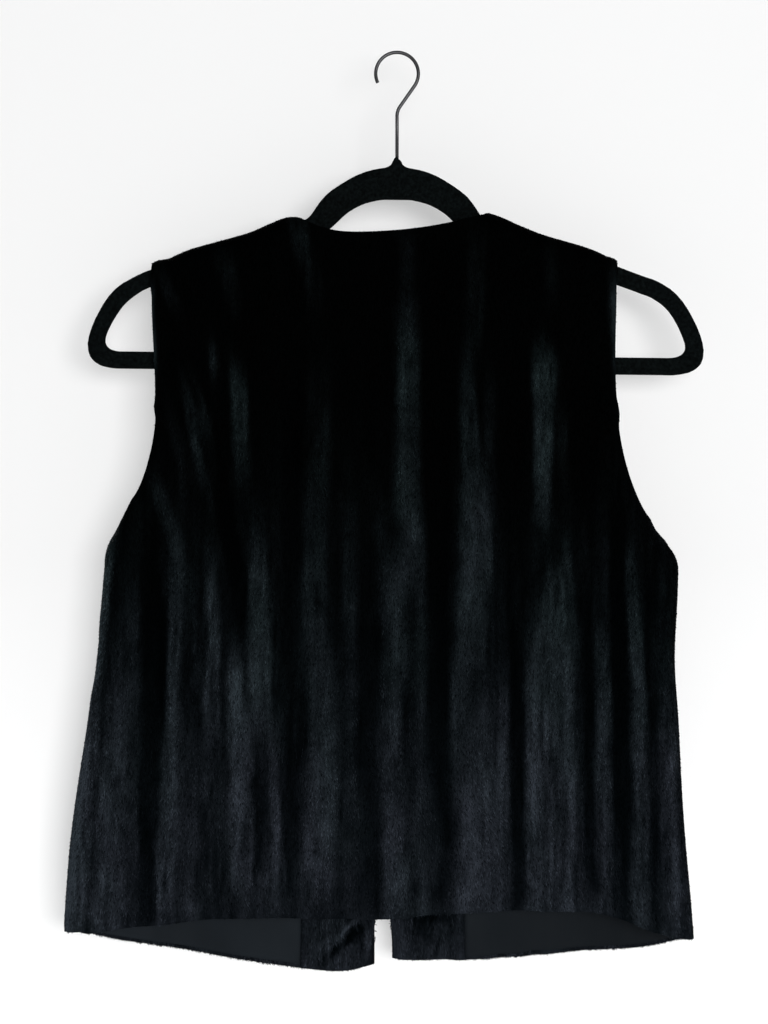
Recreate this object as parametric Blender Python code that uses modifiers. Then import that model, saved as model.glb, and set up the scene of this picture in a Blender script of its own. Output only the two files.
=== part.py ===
"""A sleeveless fur vest on a flocked hanger with a wire hook.

Metres, +Z up. The origin is the inside of the hook's crown, where a rail carries the
hanger. +X is the wearer's left, the back panel faces +Y and the two fronts face -Y.
Each pelt panel is a wall of even thickness: its outer points follow one surface, worked
out from the section, shoulder, hem and fold tables, and its inner points lie on the
same normals. Facings and linings are made from the fronts' points, moved inwards.
"""

import math
from collections import namedtuple

import bmesh
import bpy
import numpy as np
from mathutils import Matrix, Vector

# ------------------------------------------------------------------ driving sizes
PELT = 0.0030  # skin, backing and the reach of the short pile
LINING = 0.0010
SEAM = 0.0003  # gap that sewn pieces keep
SLANT = 1.25  # how much wider a seam starts, where its two rims lean together
FACING_AT_HEM = 0.054  # width of the fur facing along each front edge
FACING_TURN = 0.40  # of a front's rows, over which it narrows from the neck point
LINING_ABOVE_HEM = 0.005
SHOULDER_ARCH = 0.0100  # depth over which the shoulder rounds over the hanger
NECK_OPENS_OVER = 0.014  # from the neck point to where the neckline has its full depth
ARCH_SHARE = 0.05  # of a panel's rows, taken by the shoulder's round
ARC_SHARE = 0.12  # of a panel's columns, taken by the round of a side

FRONT_EDGE_LEFT = 0.0165
FRONT_EDGE_RIGHT = 0.0045
FRONT_NECK_DROP = 0.075  # below the neck points, at the front edges
FRONT_NECK_ROUND = 1.3  # exponent of the neckline's curve; over 1 leaves the shoulder flatter

HANGER_THICK = 0.0054
HANGER_ROUND = 0.0015
HANGER_TILT = math.radians(0.7)  # it hangs a little higher on the wearer's left
BOSS_HALF_WIDTH = 0.0045
BOSS_TOP_HALF_WIDTH = 0.0030
BOSS_CORNER = 0.0022  # height over which the boss narrows to its top
BOSS_TOP = -0.0770
BORE_DEPTH = 0.0160
BORE_ABOVE = 0.0040  # how far the cutter stands out of the boss
WIRE_RADIUS = 0.0016
HOOK_RADIUS = 0.0156  # of the wire's centre line
HOOK_TIP_ANGLE = math.radians(-25.0)
HOOK_NECK_ANGLE = math.radians(215.0)
HOOK_SHAFT_TOP = -0.0460

# Grid of the panels
NORMAL_STEP = 1e-4
SHARP_ANGLE = math.radians(50.0)
RIM_ANGLE = math.radians(60.0)
MERGE = 1e-6
HOOK_TURNS = 18
HOOK_BEND_STEPS = 6
BORE_SIDES = 12
ARC_COLUMNS = 3
SHOULDER_COLUMNS = 10
BACK_NECK_COLUMNS = 10
FACING_COLUMNS = 4
ARCH_ROWS = 3
BODY_ROWS = 30

# Outline of the hanging vest: edges of the back and fronts at each height, half the
# depth there, and how far the armhole's two edges stand apart, as a share of the depth.
# Below the underarm that share is 0, and back and front meet at the side seam.
Section = namedtuple("Section", "z left right depth apart")
SECTIONS = (
    Section(-0.150, 0.1785, -0.1605, 0.0101, 0.96),
    Section(-0.180, 0.1800, -0.1610, 0.0108, 0.96),
    Section(-0.213, 0.1785, -0.1600, 0.0118, 0.95),
    Section(-0.257, 0.1770, -0.1610, 0.0136, 0.93),
    Section(-0.290, 0.1800, -0.1650, 0.0150, 0.88),
    Section(-0.312, 0.1870, -0.1710, 0.0158, 0.80),
    Section(-0.334, 0.1980, -0.1810, 0.0166, 0.60),
    Section(-0.350, 0.2070, -0.1915, 0.0172, 0.34),
    Section(-0.362, 0.2120, -0.2010, 0.0176, 0.10),
    Section(-0.370, 0.2135, -0.2045, 0.0178, 0.00),
    Section(-0.400, 0.2160, -0.2050, 0.0184, 0.00),
    Section(-0.443, 0.2210, -0.2030, 0.0190, 0.00),
    Section(-0.487, 0.2260, -0.2060, 0.0193, 0.00),
    Section(-0.531, 0.2330, -0.2080, 0.0195, 0.00),
    Section(-0.575, 0.2390, -0.2110, 0.0195, 0.00),
    Section(-0.619, 0.2425, -0.2150, 0.0195, 0.00),
    Section(-0.650, 0.2445, -0.2175, 0.0195, 0.00),
)

# Heights along the top and bottom edges, from the wearer's right to the left.
Edge = namedtuple("Edge", "x z")
SHOULDER_RIGHT = (
    Edge(-0.1605, -0.1520),
    Edge(-0.1520, -0.1470),
    Edge(-0.1200, -0.1360),
    Edge(-0.1060, -0.1320),
    Edge(-0.0890, -0.1250),
    Edge(-0.0673, -0.1163),
)
SHOULDER_LEFT = (
    Edge(0.0739, -0.1189),
    Edge(0.0880, -0.1215),
    Edge(0.1020, -0.1285),
    Edge(0.1270, -0.1360),
    Edge(0.1620, -0.1470),
    Edge(0.1785, -0.1568),
)
BACK_NECK = (
    Edge(-0.0673, -0.1163),
    Edge(-0.0439, -0.1229),
    Edge(-0.0168, -0.1280),
    Edge(0.0022, -0.1299),
    Edge(0.0234, -0.1310),
    Edge(0.0527, -0.1290),
    Edge(0.0739, -0.1189),
)
BACK_HEM = (
    Edge(-0.2175, -0.6470),
    Edge(-0.2000, -0.6425),
    Edge(-0.1815, -0.6377),
    Edge(-0.1720, -0.6330),
    Edge(-0.1450, -0.6255),
    Edge(-0.1080, -0.6233),
    Edge(-0.0530, -0.6247),
    Edge(0.0146, -0.6290),
    Edge(0.1185, -0.6288),
    Edge(0.1730, -0.6334),
    Edge(0.2170, -0.6390),
    Edge(0.2445, -0.6440),
)
FRONT_HEM_RIGHT = (
    Edge(-0.2175, -0.6470),
    Edge(-0.2030, -0.6520),
    Edge(-0.1700, -0.6575),
    Edge(-0.1270, -0.6602),
    Edge(-0.0830, -0.6642),
    Edge(-0.0390, -0.6652),
    Edge(-0.0060, -0.6660),
    Edge(0.0045, -0.6645),
)
FRONT_HEM_LEFT = (
    Edge(0.0165, -0.6670),
    Edge(0.0270, -0.6725),
    Edge(0.0380, -0.6744),
    Edge(0.0600, -0.6733),
    Edge(0.1040, -0.6673),
    Edge(0.1480, -0.6602),
    Edge(0.1920, -0.6530),
    Edge(0.2140, -0.6490),
    Edge(0.2445, -0.6440),
)

# Soft folds, each a ridge (height over 0) or a trough along a line down the panel.
FOLD_RUN_IN = 0.35  # of a fold's length, over which it rises
FOLD_RUN_OUT = 0.30  # and past its end, over which it fades
Fold = namedtuple("Fold", "x_top z_top x_end z_end spread height")
BACK_FOLDS = (
    Fold(0.004, -0.330, 0.000, -0.660, 0.013, 0.0034),
    Fold(-0.024, -0.250, -0.026, -0.660, 0.012, -0.0030),
    Fold(-0.052, -0.300, -0.056, -0.660, 0.013, 0.0036),
    Fold(-0.080, -0.360, -0.084, -0.660, 0.012, -0.0026),
    Fold(-0.104, -0.290, -0.112, -0.660, 0.014, 0.0040),
    Fold(-0.140, -0.420, -0.146, -0.660, 0.014, -0.0032),
    Fold(-0.166, -0.400, -0.177, -0.660, 0.012, 0.0030),
    Fold(0.032, -0.380, 0.031, -0.660, 0.012, -0.0026),
    Fold(0.060, -0.330, 0.062, -0.660, 0.013, 0.0030),
    Fold(0.108, -0.270, 0.104, -0.660, 0.015, 0.0038),
    Fold(0.134, -0.400, 0.138, -0.660, 0.012, -0.0034),
    Fold(0.158, -0.370, 0.170, -0.660, 0.014, 0.0036),
    Fold(0.186, -0.450, 0.196, -0.660, 0.012, -0.0024),
    Fold(0.205, -0.500, 0.216, -0.660, 0.012, 0.0024),
    Fold(0.170, -0.258, 0.132, -0.350, 0.009, 0.0030),
    Fold(0.152, -0.235, 0.122, -0.330, 0.009, -0.0024),
    Fold(-0.185, -0.372, -0.200, -0.430, 0.009, -0.0024),
)
FRONT_FOLDS = (
    Fold(0.072, -0.300, 0.078, -0.690, 0.016, 0.0030),
    Fold(0.106, -0.360, 0.112, -0.690, 0.014, -0.0024),
    Fold(0.146, -0.330, 0.158, -0.690, 0.016, 0.0034),
    Fold(0.194, -0.440, 0.206, -0.690, 0.014, -0.0022),
    Fold(-0.058, -0.320, -0.062, -0.690, 0.016, 0.0030),
    Fold(-0.094, -0.380, -0.098, -0.690, 0.014, -0.0024),
    Fold(-0.136, -0.330, -0.142, -0.690, 0.016, 0.0034),
    Fold(-0.176, -0.430, -0.184, -0.690, 0.013, -0.0022),
)

# Half of the hanger's outline and of the window inside it.
HANGER_OUTLINE = (
    Edge(0.0056, -0.0816),
    Edge(0.0088, -0.0830),
    Edge(0.0170, -0.0843),
    Edge(0.0290, -0.0884),
    Edge(0.0420, -0.0960),
    Edge(0.0520, -0.1035),
    Edge(0.0590, -0.1125),
    Edge(0.0640, -0.1197),
    Edge(0.0715, -0.1240),
    Edge(0.0830, -0.1268),
    Edge(0.0980, -0.1334),
    Edge(0.1200, -0.1404),
    Edge(0.1520, -0.1514),
    Edge(0.1620, -0.1565),
    Edge(0.1860, -0.1652),
    Edge(0.2000, -0.1700),
    Edge(0.2100, -0.1795),
    Edge(0.2170, -0.1910),
    Edge(0.2220, -0.2020),
    Edge(0.2250, -0.2140),
    Edge(0.2230, -0.2245),
    Edge(0.2150, -0.2310),
    Edge(0.2040, -0.2330),
)
HANGER_WINDOW = (
    Edge(0.0100, -0.1070),
    Edge(0.0230, -0.1100),
    Edge(0.0350, -0.1165),
    Edge(0.0430, -0.1240),
    Edge(0.0530, -0.1320),
    Edge(0.0720, -0.1385),
    Edge(0.0980, -0.1470),
    Edge(0.1300, -0.1575),
    Edge(0.1620, -0.1690),
    Edge(0.1860, -0.1775),
    Edge(0.1960, -0.1840),
    Edge(0.2030, -0.1930),
    Edge(0.2090, -0.2040),
    Edge(0.2115, -0.2130),
    Edge(0.2080, -0.2180),
    Edge(0.2020, -0.2195),
)

# Materials: name, base colour, roughness, metallic
Finish = namedtuple("Finish", "name colour roughness metallic")
FUR = Finish("black_sheared_fur", (0.010, 0.011, 0.013), 0.55, 0.0)
SLATE = Finish("slate_lining", (0.028, 0.034, 0.046), 0.70, 0.0)
FLOCK = Finish("black_flock", (0.008, 0.008, 0.009), 0.95, 0.0)
WIRE = Finish("dark_wire", (0.150, 0.150, 0.155), 0.35, 1.0)


# ------------------------------------------------------------------ curves
def smooth(rows, key, value):
    """A function that passes smoothly through two columns of a table."""
    order = sorted(rows, key=lambda row: getattr(row, key))
    at = np.array([getattr(row, key) for row in order])
    to = np.array([getattr(row, value) for row in order])
    slope = np.gradient(to, at)

    def read(where):
        where = min(max(where, at[0]), at[-1])
        i = min(int(np.searchsorted(at, where, side="right")) - 1, len(at) - 2)
        step = at[i + 1] - at[i]
        t = (where - at[i]) / step
        lift = t * t * (3.0 - 2.0 * t)
        return (
            to[i] * (1.0 - lift)
            + to[i + 1] * lift
            + step * slope[i] * t * (1.0 - t) ** 2
            - step * slope[i + 1] * t * t * (1.0 - t)
        )

    return read


def mix(a, b, t):
    return a + (b - a) * t


left_edge = smooth(SECTIONS, "z", "left")
right_edge = smooth(SECTIONS, "z", "right")
half_depth = smooth(SECTIONS, "z", "depth")
apart = smooth(SECTIONS, "z", "apart")
shoulder_right = smooth(SHOULDER_RIGHT, "x", "z")
shoulder_left = smooth(SHOULDER_LEFT, "x", "z")
back_neck = smooth(BACK_NECK, "x", "z")
back_hem = smooth(BACK_HEM, "x", "z")
front_hem_left = smooth(FRONT_HEM_LEFT, "x", "z")
front_hem_right = smooth(FRONT_HEM_RIGHT, "x", "z")

NECK_LEFT = SHOULDER_LEFT[0]
NECK_RIGHT = SHOULDER_RIGHT[-1]
TIP_LEFT = SHOULDER_LEFT[-1]
TIP_RIGHT = SHOULDER_RIGHT[0]
CORNER_LEFT = BACK_HEM[-1]
CORNER_RIGHT = BACK_HEM[0]


def shoulder(x):
    return shoulder_left(x) if x > 0 else shoulder_right(x)


def front_neck(x, neck, edge):
    """A round neckline from the neck point down to the front edge."""
    t = min(max((neck.x - x) / (neck.x - edge), 0.0), 1.0)
    return neck.z - FRONT_NECK_DROP * math.sin(t * math.pi / 2) ** FRONT_NECK_ROUND


def fold_height(folds, x, z):
    """How far the folds lift a panel outwards at a point of it."""
    total = 0.0
    for fold in folds:
        along = (z - fold.z_top) / (fold.z_end - fold.z_top)
        if along <= 0.0:
            continue
        line = mix(fold.x_top, fold.x_end, min(along, 1.0))
        fade = min(along / FOLD_RUN_IN, 1.0)
        fade = fade * fade * (3.0 - 2.0 * fade)
        if along > 1.0:
            fade *= max(0.0, 1.0 - (along - 1.0) / FOLD_RUN_OUT)
        total += fold.height * fade * math.exp(-(((x - line) / fold.spread) ** 2))
    return total


# ------------------------------------------------------------------ panel surfaces
def drop(v, z_top, z_hem, opened):
    """Height at row v of a column, and the share of the depth reached there."""
    over = v / ARCH_SHARE
    if over >= 1.0:
        return mix(z_top - SHOULDER_ARCH, z_hem, (v - ARCH_SHARE) / (1.0 - ARCH_SHARE)), 1.0
    turn = mix(opened, math.pi / 2, over)
    fall = math.cos(opened) - math.cos(turn) + (1.0 - math.cos(opened)) * over
    return z_top - SHOULDER_ARCH * fall, math.sin(turn)


def side(v, tip, corner, edge):
    """A side edge at row v: its x, the side arc's radius and the angle that it ends at."""
    z, _ = drop(v, tip.z, corner.z, 0.0)
    radius = half_depth(z)
    share = max(apart(z), SLANT * SEAM / 2 / radius)
    return edge(z), radius, math.asin(share)


def left_side(v):
    return side(v, TIP_LEFT, CORNER_LEFT, left_edge)


def right_side(v):
    return side(v, TIP_RIGHT, CORNER_RIGHT, right_edge)


def arc_start(at_side, outward):
    """Where the flat part of a section ends and the side's round begins."""
    x, radius, angle = at_side
    return x - outward * radius * math.cos(angle)


def across(s, at_side, outward, inner_x):
    """x, and the share of the depth, from inner_x (s = 0) to the side edge (s = 1)."""
    start = arc_start(at_side, outward)
    flat = 1.0 - ARC_SHARE
    if s <= flat:
        return mix(inner_x, start, s / flat), 1.0
    _, radius, angle = at_side
    turn = mix(math.pi / 2, angle, (s - flat) / ARC_SHARE)
    return start + outward * radius * math.cos(turn), math.sin(turn)


def neck_opening(inside):
    """Angle that the shoulder's round starts at: 0 on the seam, 90 degrees in the neck."""
    return math.pi / 2 * math.sqrt(min(max(inside / NECK_OPENS_OVER, 0.0), 1.0))


def seam_lift(depth, share):
    return max(depth * share, SLANT * SEAM / 2)


BACK_MIDDLE = (NECK_LEFT.x + NECK_RIGHT.x) / 2


def back_x(s, v):
    if s >= 0.0:
        return across(s, left_side(v), 1.0, BACK_MIDDLE)
    return across(-s, right_side(v), -1.0, BACK_MIDDLE)


def back_point(s, v):
    """The back's outer surface; s runs from -1 at the right side to 1 at the left."""
    x, side_share = back_x(s, v)
    top_x, _ = back_x(s, 0.0)
    hem_x, _ = back_x(s, 1.0)
    inside = min(top_x - NECK_RIGHT.x, NECK_LEFT.x - top_x)
    z_top = back_neck(top_x) if inside > 0.0 else shoulder(top_x)
    z, top_share = drop(v, z_top, back_hem(hem_x), neck_opening(inside))
    lift = half_depth(z) + fold_height(BACK_FOLDS, x, z)
    return Vector((x, seam_lift(lift, side_share * top_share), z))


FrontSide = namedtuple("FrontSide", "outward edge neck at_side hem")
LEFT = FrontSide(1.0, FRONT_EDGE_LEFT, NECK_LEFT, left_side, front_hem_left)
RIGHT = FrontSide(-1.0, FRONT_EDGE_RIGHT, NECK_RIGHT, right_side, front_hem_right)


def front_point(front, s, v):
    """A front's outer surface; s runs from 0 at the front edge to 1 at the side."""
    x, side_share = across(s, front.at_side(v), front.outward, front.edge)
    top_x, _ = across(s, front.at_side(0.0), front.outward, front.edge)
    hem_x, _ = across(s, front.at_side(1.0), front.outward, front.edge)
    inside = (front.neck.x - top_x) * front.outward
    z_top = front_neck(top_x, front.neck, front.edge) if inside > 0.0 else shoulder(top_x)
    z, top_share = drop(v, z_top, front.hem(hem_x), neck_opening(inside))
    lift = half_depth(z) + fold_height(FRONT_FOLDS, x, z)
    return Vector((x, -seam_lift(lift, side_share * top_share), z))


def outward_normal(surface, s, v, facing):
    """Normal from points a little to each side, turned to the side that faces out."""
    along = surface(s + NORMAL_STEP, v) - surface(s - NORMAL_STEP, v)
    down = surface(s, v + NORMAL_STEP) - surface(s, v - NORMAL_STEP)
    return along.cross(down).normalized() * facing


# ------------------------------------------------------------------ walls
def face_outwards(bm):
    bmesh.ops.recalc_face_normals(bm, faces=bm.faces[:])
    if bm.calc_volume(signed=True) < 0.0:
        bmesh.ops.reverse_faces(bm, faces=bm.faces[:])


def wall_mesh(name, surface, columns, rows, outside, inside, facing):
    """A closed wall between two depths below a surface, from one grid extruded inwards."""
    bm = bmesh.new()
    column = bm.verts.layers.int.new("column")
    row = bm.verts.layers.int.new("row")
    across_count, down_count = len(columns) - 1, len(rows) - 1
    bmesh.ops.create_grid(bm, x_segments=across_count, y_segments=down_count, size=1.0)
    for vert in bm.verts:
        vert[column] = round((vert.co.x + 1.0) / 2.0 * across_count)
        vert[row] = round((vert.co.y + 1.0) / 2.0 * down_count)
    bmesh.ops.triangulate(bm, faces=bm.faces[:], quad_method="FIXED")
    made = bmesh.ops.extrude_face_region(bm, geom=bm.faces[:], use_keep_orig=True)
    inner = {item for item in made["geom"] if isinstance(item, bmesh.types.BMVert)}
    places = {}
    for vert in bm.verts:
        key = vert[column], vert[row]
        if key not in places:
            v = rows[key[1]]
            s = columns[key[0]](v)
            places[key] = surface(s, v), outward_normal(surface, s, v, facing)
        point, normal = places[key]
        vert.co = point - normal * (inside if vert in inner else outside)
    face_outwards(bm)
    mesh = bpy.data.meshes.new(name)
    bm.to_mesh(mesh)
    bm.free()
    mesh.shade_smooth()
    mesh.set_sharp_from_angle(angle=SHARP_ANGLE)
    return mesh


def steps(start, end, count):
    """The ends of count equal steps from start, without start itself."""
    return [mix(start, end, (i + 1) / count) for i in range(count)]


def straight(places):
    """Columns that keep the same s at every row."""

    def at(place):
        return lambda v: place

    return [at(place) for place in places]


def body_rows(first=0.0):
    rows = [0.0] + steps(0.0, ARCH_SHARE, ARCH_ROWS) + steps(ARCH_SHARE, 1.0, BODY_ROWS)
    return [row for row in rows if row >= first]


def share_at(x, at_side, outward, inner_x):
    """The s of a point on the flat part of the top edge."""
    return (x - inner_x) / (arc_start(at_side, outward) - inner_x) * (1.0 - ARC_SHARE)


def back_columns():
    flat = 1.0 - ARC_SHARE
    neck_left = share_at(NECK_LEFT.x, left_side(0.0), 1.0, BACK_MIDDLE)
    neck_right = -share_at(NECK_RIGHT.x, right_side(0.0), -1.0, BACK_MIDDLE)
    neck = [
        mix(neck_right, neck_left, (1.0 - math.cos(math.pi * (i + 1) / BACK_NECK_COLUMNS)) / 2)
        for i in range(BACK_NECK_COLUMNS)
    ]
    return straight(
        [-1.0]
        + steps(-1.0, -flat, ARC_COLUMNS)
        + steps(-flat, neck_right, SHOULDER_COLUMNS)
        + neck
        + steps(neck_left, flat, SHOULDER_COLUMNS)
        + steps(flat, 1.0, ARC_COLUMNS)
    )


def front_columns(front):
    """Columns from the front edge to the facing's inner edge, and from there to the side.

    The facing's inner edge leaves the neck point and runs down to the facing's width
    at the hem.
    """
    flat = 1.0 - ARC_SHARE
    at_neck = share_at(front.neck.x, front.at_side(0.0), front.outward, front.edge)
    facing_x = front.edge + front.outward * FACING_AT_HEM
    at_hem = share_at(facing_x, front.at_side(1.0), front.outward, front.edge)

    def across_facing(i):
        share = i / FACING_COLUMNS
        top = at_neck * math.sin(math.pi / 2 * share)
        return lambda v: mix(top, at_hem * share, turn_to_hem(v))

    def across_body(i):
        share = i / SHOULDER_COLUMNS
        return lambda v: mix(mix(at_neck, at_hem, turn_to_hem(v)), flat, share)

    facing = [across_facing(i) for i in range(FACING_COLUMNS + 1)]
    body = [across_body(i) for i in range(1, SHOULDER_COLUMNS + 1)]
    return facing, body + straight(steps(flat, 1.0, ARC_COLUMNS))


def turn_to_hem(v):
    """From 0 at the shoulder smoothly to 1 at FACING_TURN of the way down."""
    t = min(1.0, v / FACING_TURN)
    return t * t * (3.0 - 2.0 * t)


def moved(column, by):
    return lambda v: column(v) + by


# ------------------------------------------------------------------ objects
def clear_scene():
    for thing in list(bpy.data.objects):
        bpy.data.objects.remove(thing, do_unlink=True)


def new_collection(name):
    collection = bpy.data.collections.new(name)
    bpy.context.scene.collection.children.link(collection)
    return collection


def material(finish):
    made = bpy.data.materials.get(finish.name)
    if made:
        return made
    made = bpy.data.materials.new(finish.name)
    made.use_nodes = True
    shader = made.node_tree.nodes["Principled BSDF"]
    shader.inputs["Base Color"].default_value = (*finish.colour, 1.0)
    shader.inputs["Roughness"].default_value = finish.roughness
    shader.inputs["Metallic"].default_value = finish.metallic
    made.diffuse_color = (*finish.colour, 1.0)
    return made


def add_object(name, data, finish, collection):
    made = bpy.data.objects.new(name, data)
    data.materials.append(material(finish))
    collection.objects.link(made)
    return made


def make_back(collection):
    mesh = wall_mesh("back", back_point, back_columns(), body_rows(), 0.0, PELT, 1.0)
    return add_object("back", mesh, FUR, collection)


def make_front(name, front, collection):
    """A front, and under it the facing and the lining that share its inner surface."""
    facing, body = front_columns(front)
    flat_width = abs(arc_start(front.at_side(1.0), front.outward) - front.edge)
    seam = moved(facing[-1], SLANT * SEAM / flat_width)
    length = TIP_LEFT.z - CORNER_LEFT.z
    under = PELT + SEAM
    inner_rows = body_rows(first=ARCH_SHARE)
    lining_rows = inner_rows[:-1] + [1.0 - LINING_ABOVE_HEM / length]

    def surface(s, v):
        return front_point(front, s, v)

    for piece, columns, rows, depth, thickness, finish in (
        ("front_", facing + body, body_rows(), 0.0, PELT, FUR),
        ("facing_", facing, inner_rows, under, PELT, FUR),
        ("lining_", [seam] + body, lining_rows, under, LINING, SLATE),
    ):
        mesh = wall_mesh(
            piece + name, surface, columns, rows, depth, depth + thickness, -front.outward
        )
        add_object(piece + name, mesh, finish, collection)


def rounded_path(points, per_span):
    """Points along a smooth curve through the given ones, ends included."""
    last = len(points) - 1
    path = []
    for i in range(last):
        a, b, c, d = (points[min(max(i + k, 0), last)] for k in (-1, 0, 1, 2))
        for k in range(per_span):
            t = k / per_span
            bend = (2.0 * a - 5.0 * b + 4.0 * c - d) * t * t
            turn = (3.0 * b - a - 3.0 * c + d) * t**3
            path.append(0.5 * (2.0 * b + (c - a) * t + bend + turn))
    return path + [points[-1]]


def both_halves(rows, first=()):
    """A closed outline from the rows of its +X half, top first, and any points above."""
    half = list(first) + rounded_path([Vector((row.x, row.z, 0.0)) for row in rows], 2)
    return half + [Vector((-point.x, point.y, 0.0)) for point in reversed(half)]


def outline_spline(curve, points):
    spline = curve.splines.new("POLY")
    spline.points.add(len(points) - 1)
    for target, point in zip(spline.points, points):
        target.co = (point.x, point.y, 0.0, 1.0)
    spline.use_cyclic_u = True


def hanger_outline():
    """The outer outline, with the boss that takes the hook standing on its arch."""
    boss = (
        Vector((BOSS_TOP_HALF_WIDTH, BOSS_TOP, 0.0)),
        Vector((BOSS_HALF_WIDTH, BOSS_TOP - BOSS_CORNER, 0.0)),
    )
    return both_halves(HANGER_OUTLINE, boss)


def hanger_plate(collection):
    """The hanger's frame as a flat plate of its outline with its window, tilted as it hangs."""
    curve = bpy.data.curves.new("hanger_body_outline", "CURVE")
    curve.dimensions = "2D"
    curve.fill_mode = "BOTH"
    outline_spline(curve, hanger_outline())
    outline_spline(curve, both_halves(HANGER_WINDOW))
    curve.extrude = HANGER_THICK / 2
    flat = bpy.data.objects.new("hanger_body_outline", curve)
    flat.rotation_euler = (math.pi / 2, 0.0, 0.0)
    collection.objects.link(flat)
    bpy.context.view_layer.update()
    graph = bpy.context.evaluated_depsgraph_get()
    mesh = bpy.data.meshes.new_from_object(flat.evaluated_get(graph))
    mesh.name = "hanger_body"
    boss = Matrix.Translation((0.0, 0.0, BOSS_TOP))
    tilt = boss @ Matrix.Rotation(-HANGER_TILT, 4, "Y") @ boss.inverted()
    mesh.transform(tilt @ flat.matrix_world)
    bpy.data.objects.remove(flat, do_unlink=True)
    bm = bmesh.new()
    bm.from_mesh(mesh)
    bmesh.ops.remove_doubles(bm, verts=bm.verts[:], dist=MERGE)
    face_outwards(bm)
    bm.to_mesh(mesh)
    bm.free()
    return mesh


def hook_bore(cutters):
    """The cutter for the bore that takes the hook's foot."""
    bm = bmesh.new()
    reach = BORE_DEPTH + BORE_ABOVE
    bmesh.ops.create_cone(
        bm,
        cap_ends=True,
        segments=BORE_SIDES,
        radius1=WIRE_RADIUS + SEAM,
        radius2=WIRE_RADIUS + SEAM,
        depth=reach,
    )
    mesh = bpy.data.meshes.new("hook_bore")
    bm.to_mesh(mesh)
    bm.free()
    bore = bpy.data.objects.new("hook_bore", mesh)
    bore.location = (0.0, 0.0, BOSS_TOP - BORE_DEPTH + reach / 2)
    bore.hide_render = True
    bore.display_type = "WIRE"
    cutters.objects.link(bore)
    return bore


def make_hanger(collection, cutters):
    body = add_object("hanger_body", hanger_plate(collection), FLOCK, collection)
    rounded = body.modifiers.new("rounded_rims", "BEVEL")
    rounded.width = HANGER_ROUND
    rounded.segments = 1
    rounded.limit_method = "ANGLE"
    rounded.angle_limit = RIM_ANGLE
    cut = body.modifiers.new("bore", "BOOLEAN")
    cut.operation = "DIFFERENCE"
    cut.solver = "EXACT"
    cut.object = hook_bore(cutters)
    return body


def hook_path():
    """The wire's centre line, from its tip over the crown and down into the boss."""
    centre = Vector((0.0, 0.0, WIRE_RADIUS - HOOK_RADIUS))
    path = []
    for i in range(HOOK_TURNS + 1):
        angle = mix(HOOK_TIP_ANGLE, HOOK_NECK_ANGLE, i / HOOK_TURNS)
        path.append(centre + HOOK_RADIUS * Vector((math.cos(angle), 0.0, math.sin(angle))))
    joint = path[-1]
    heading = Vector((-math.sin(HOOK_NECK_ANGLE), 0.0, math.cos(HOOK_NECK_ANGLE)))
    corner = joint - heading * (joint.x / heading.x)
    shaft_top = Vector((0.0, 0.0, HOOK_SHAFT_TOP))
    bend = corner - heading * (corner.z - HOOK_SHAFT_TOP)
    for i in range(HOOK_BEND_STEPS):
        t = i / HOOK_BEND_STEPS
        path.append(bend.lerp(corner, t).lerp(corner.lerp(shaft_top, t), t))
    path.append(shaft_top)
    path.append(Vector((0.0, 0.0, (HOOK_SHAFT_TOP + BOSS_TOP) / 2)))
    path.append(Vector((0.0, 0.0, BOSS_TOP - BORE_DEPTH + SEAM)))
    return path


def make_hook(collection):
    curve = bpy.data.curves.new("hanger_hook", "CURVE")
    curve.dimensions = "3D"
    curve.fill_mode = "FULL"
    curve.bevel_depth = WIRE_RADIUS
    curve.bevel_resolution = 2
    curve.use_fill_caps = True
    path = hook_path()
    spline = curve.splines.new("POLY")
    spline.points.add(len(path) - 1)
    for target, point in zip(spline.points, path):
        target.co = (*point, 1.0)
    spline.use_smooth = True
    return add_object("hanger_hook", curve, WIRE, collection)


def main():
    clear_scene()
    vest = new_collection("fur_vest_on_hanger")
    cutters = new_collection("cutters")
    make_back(vest)
    make_front("left", LEFT, vest)
    make_front("right", RIGHT, vest)
    make_hanger(vest, cutters)
    make_hook(vest)


main()
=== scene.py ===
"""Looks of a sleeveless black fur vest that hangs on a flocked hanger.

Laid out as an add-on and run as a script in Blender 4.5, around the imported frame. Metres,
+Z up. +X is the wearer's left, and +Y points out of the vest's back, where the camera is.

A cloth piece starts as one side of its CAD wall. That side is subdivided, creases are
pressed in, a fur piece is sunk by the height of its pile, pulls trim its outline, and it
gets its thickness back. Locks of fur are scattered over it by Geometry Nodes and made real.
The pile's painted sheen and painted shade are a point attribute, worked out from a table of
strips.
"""

import math
from collections import namedtuple

import bmesh
import bpy
import numpy as np
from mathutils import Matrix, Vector, kdtree, noise


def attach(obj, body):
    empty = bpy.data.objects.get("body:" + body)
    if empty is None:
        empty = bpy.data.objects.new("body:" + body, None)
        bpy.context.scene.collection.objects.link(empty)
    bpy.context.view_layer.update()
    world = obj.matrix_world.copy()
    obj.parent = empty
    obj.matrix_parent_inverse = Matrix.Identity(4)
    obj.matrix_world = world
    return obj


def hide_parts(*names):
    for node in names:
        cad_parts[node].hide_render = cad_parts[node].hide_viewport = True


bl_info = {
    "name": "Fur vest on a hanger",
    "version": (1, 0, 0),
    "blender": (4, 5, 0),
    "location": "3D Viewport > Sidebar > Fur Vest",
    "description": "Adds a black fur vest, its lining and its flocked hanger around the frame",
    "category": "Add Mesh",
}

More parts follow.
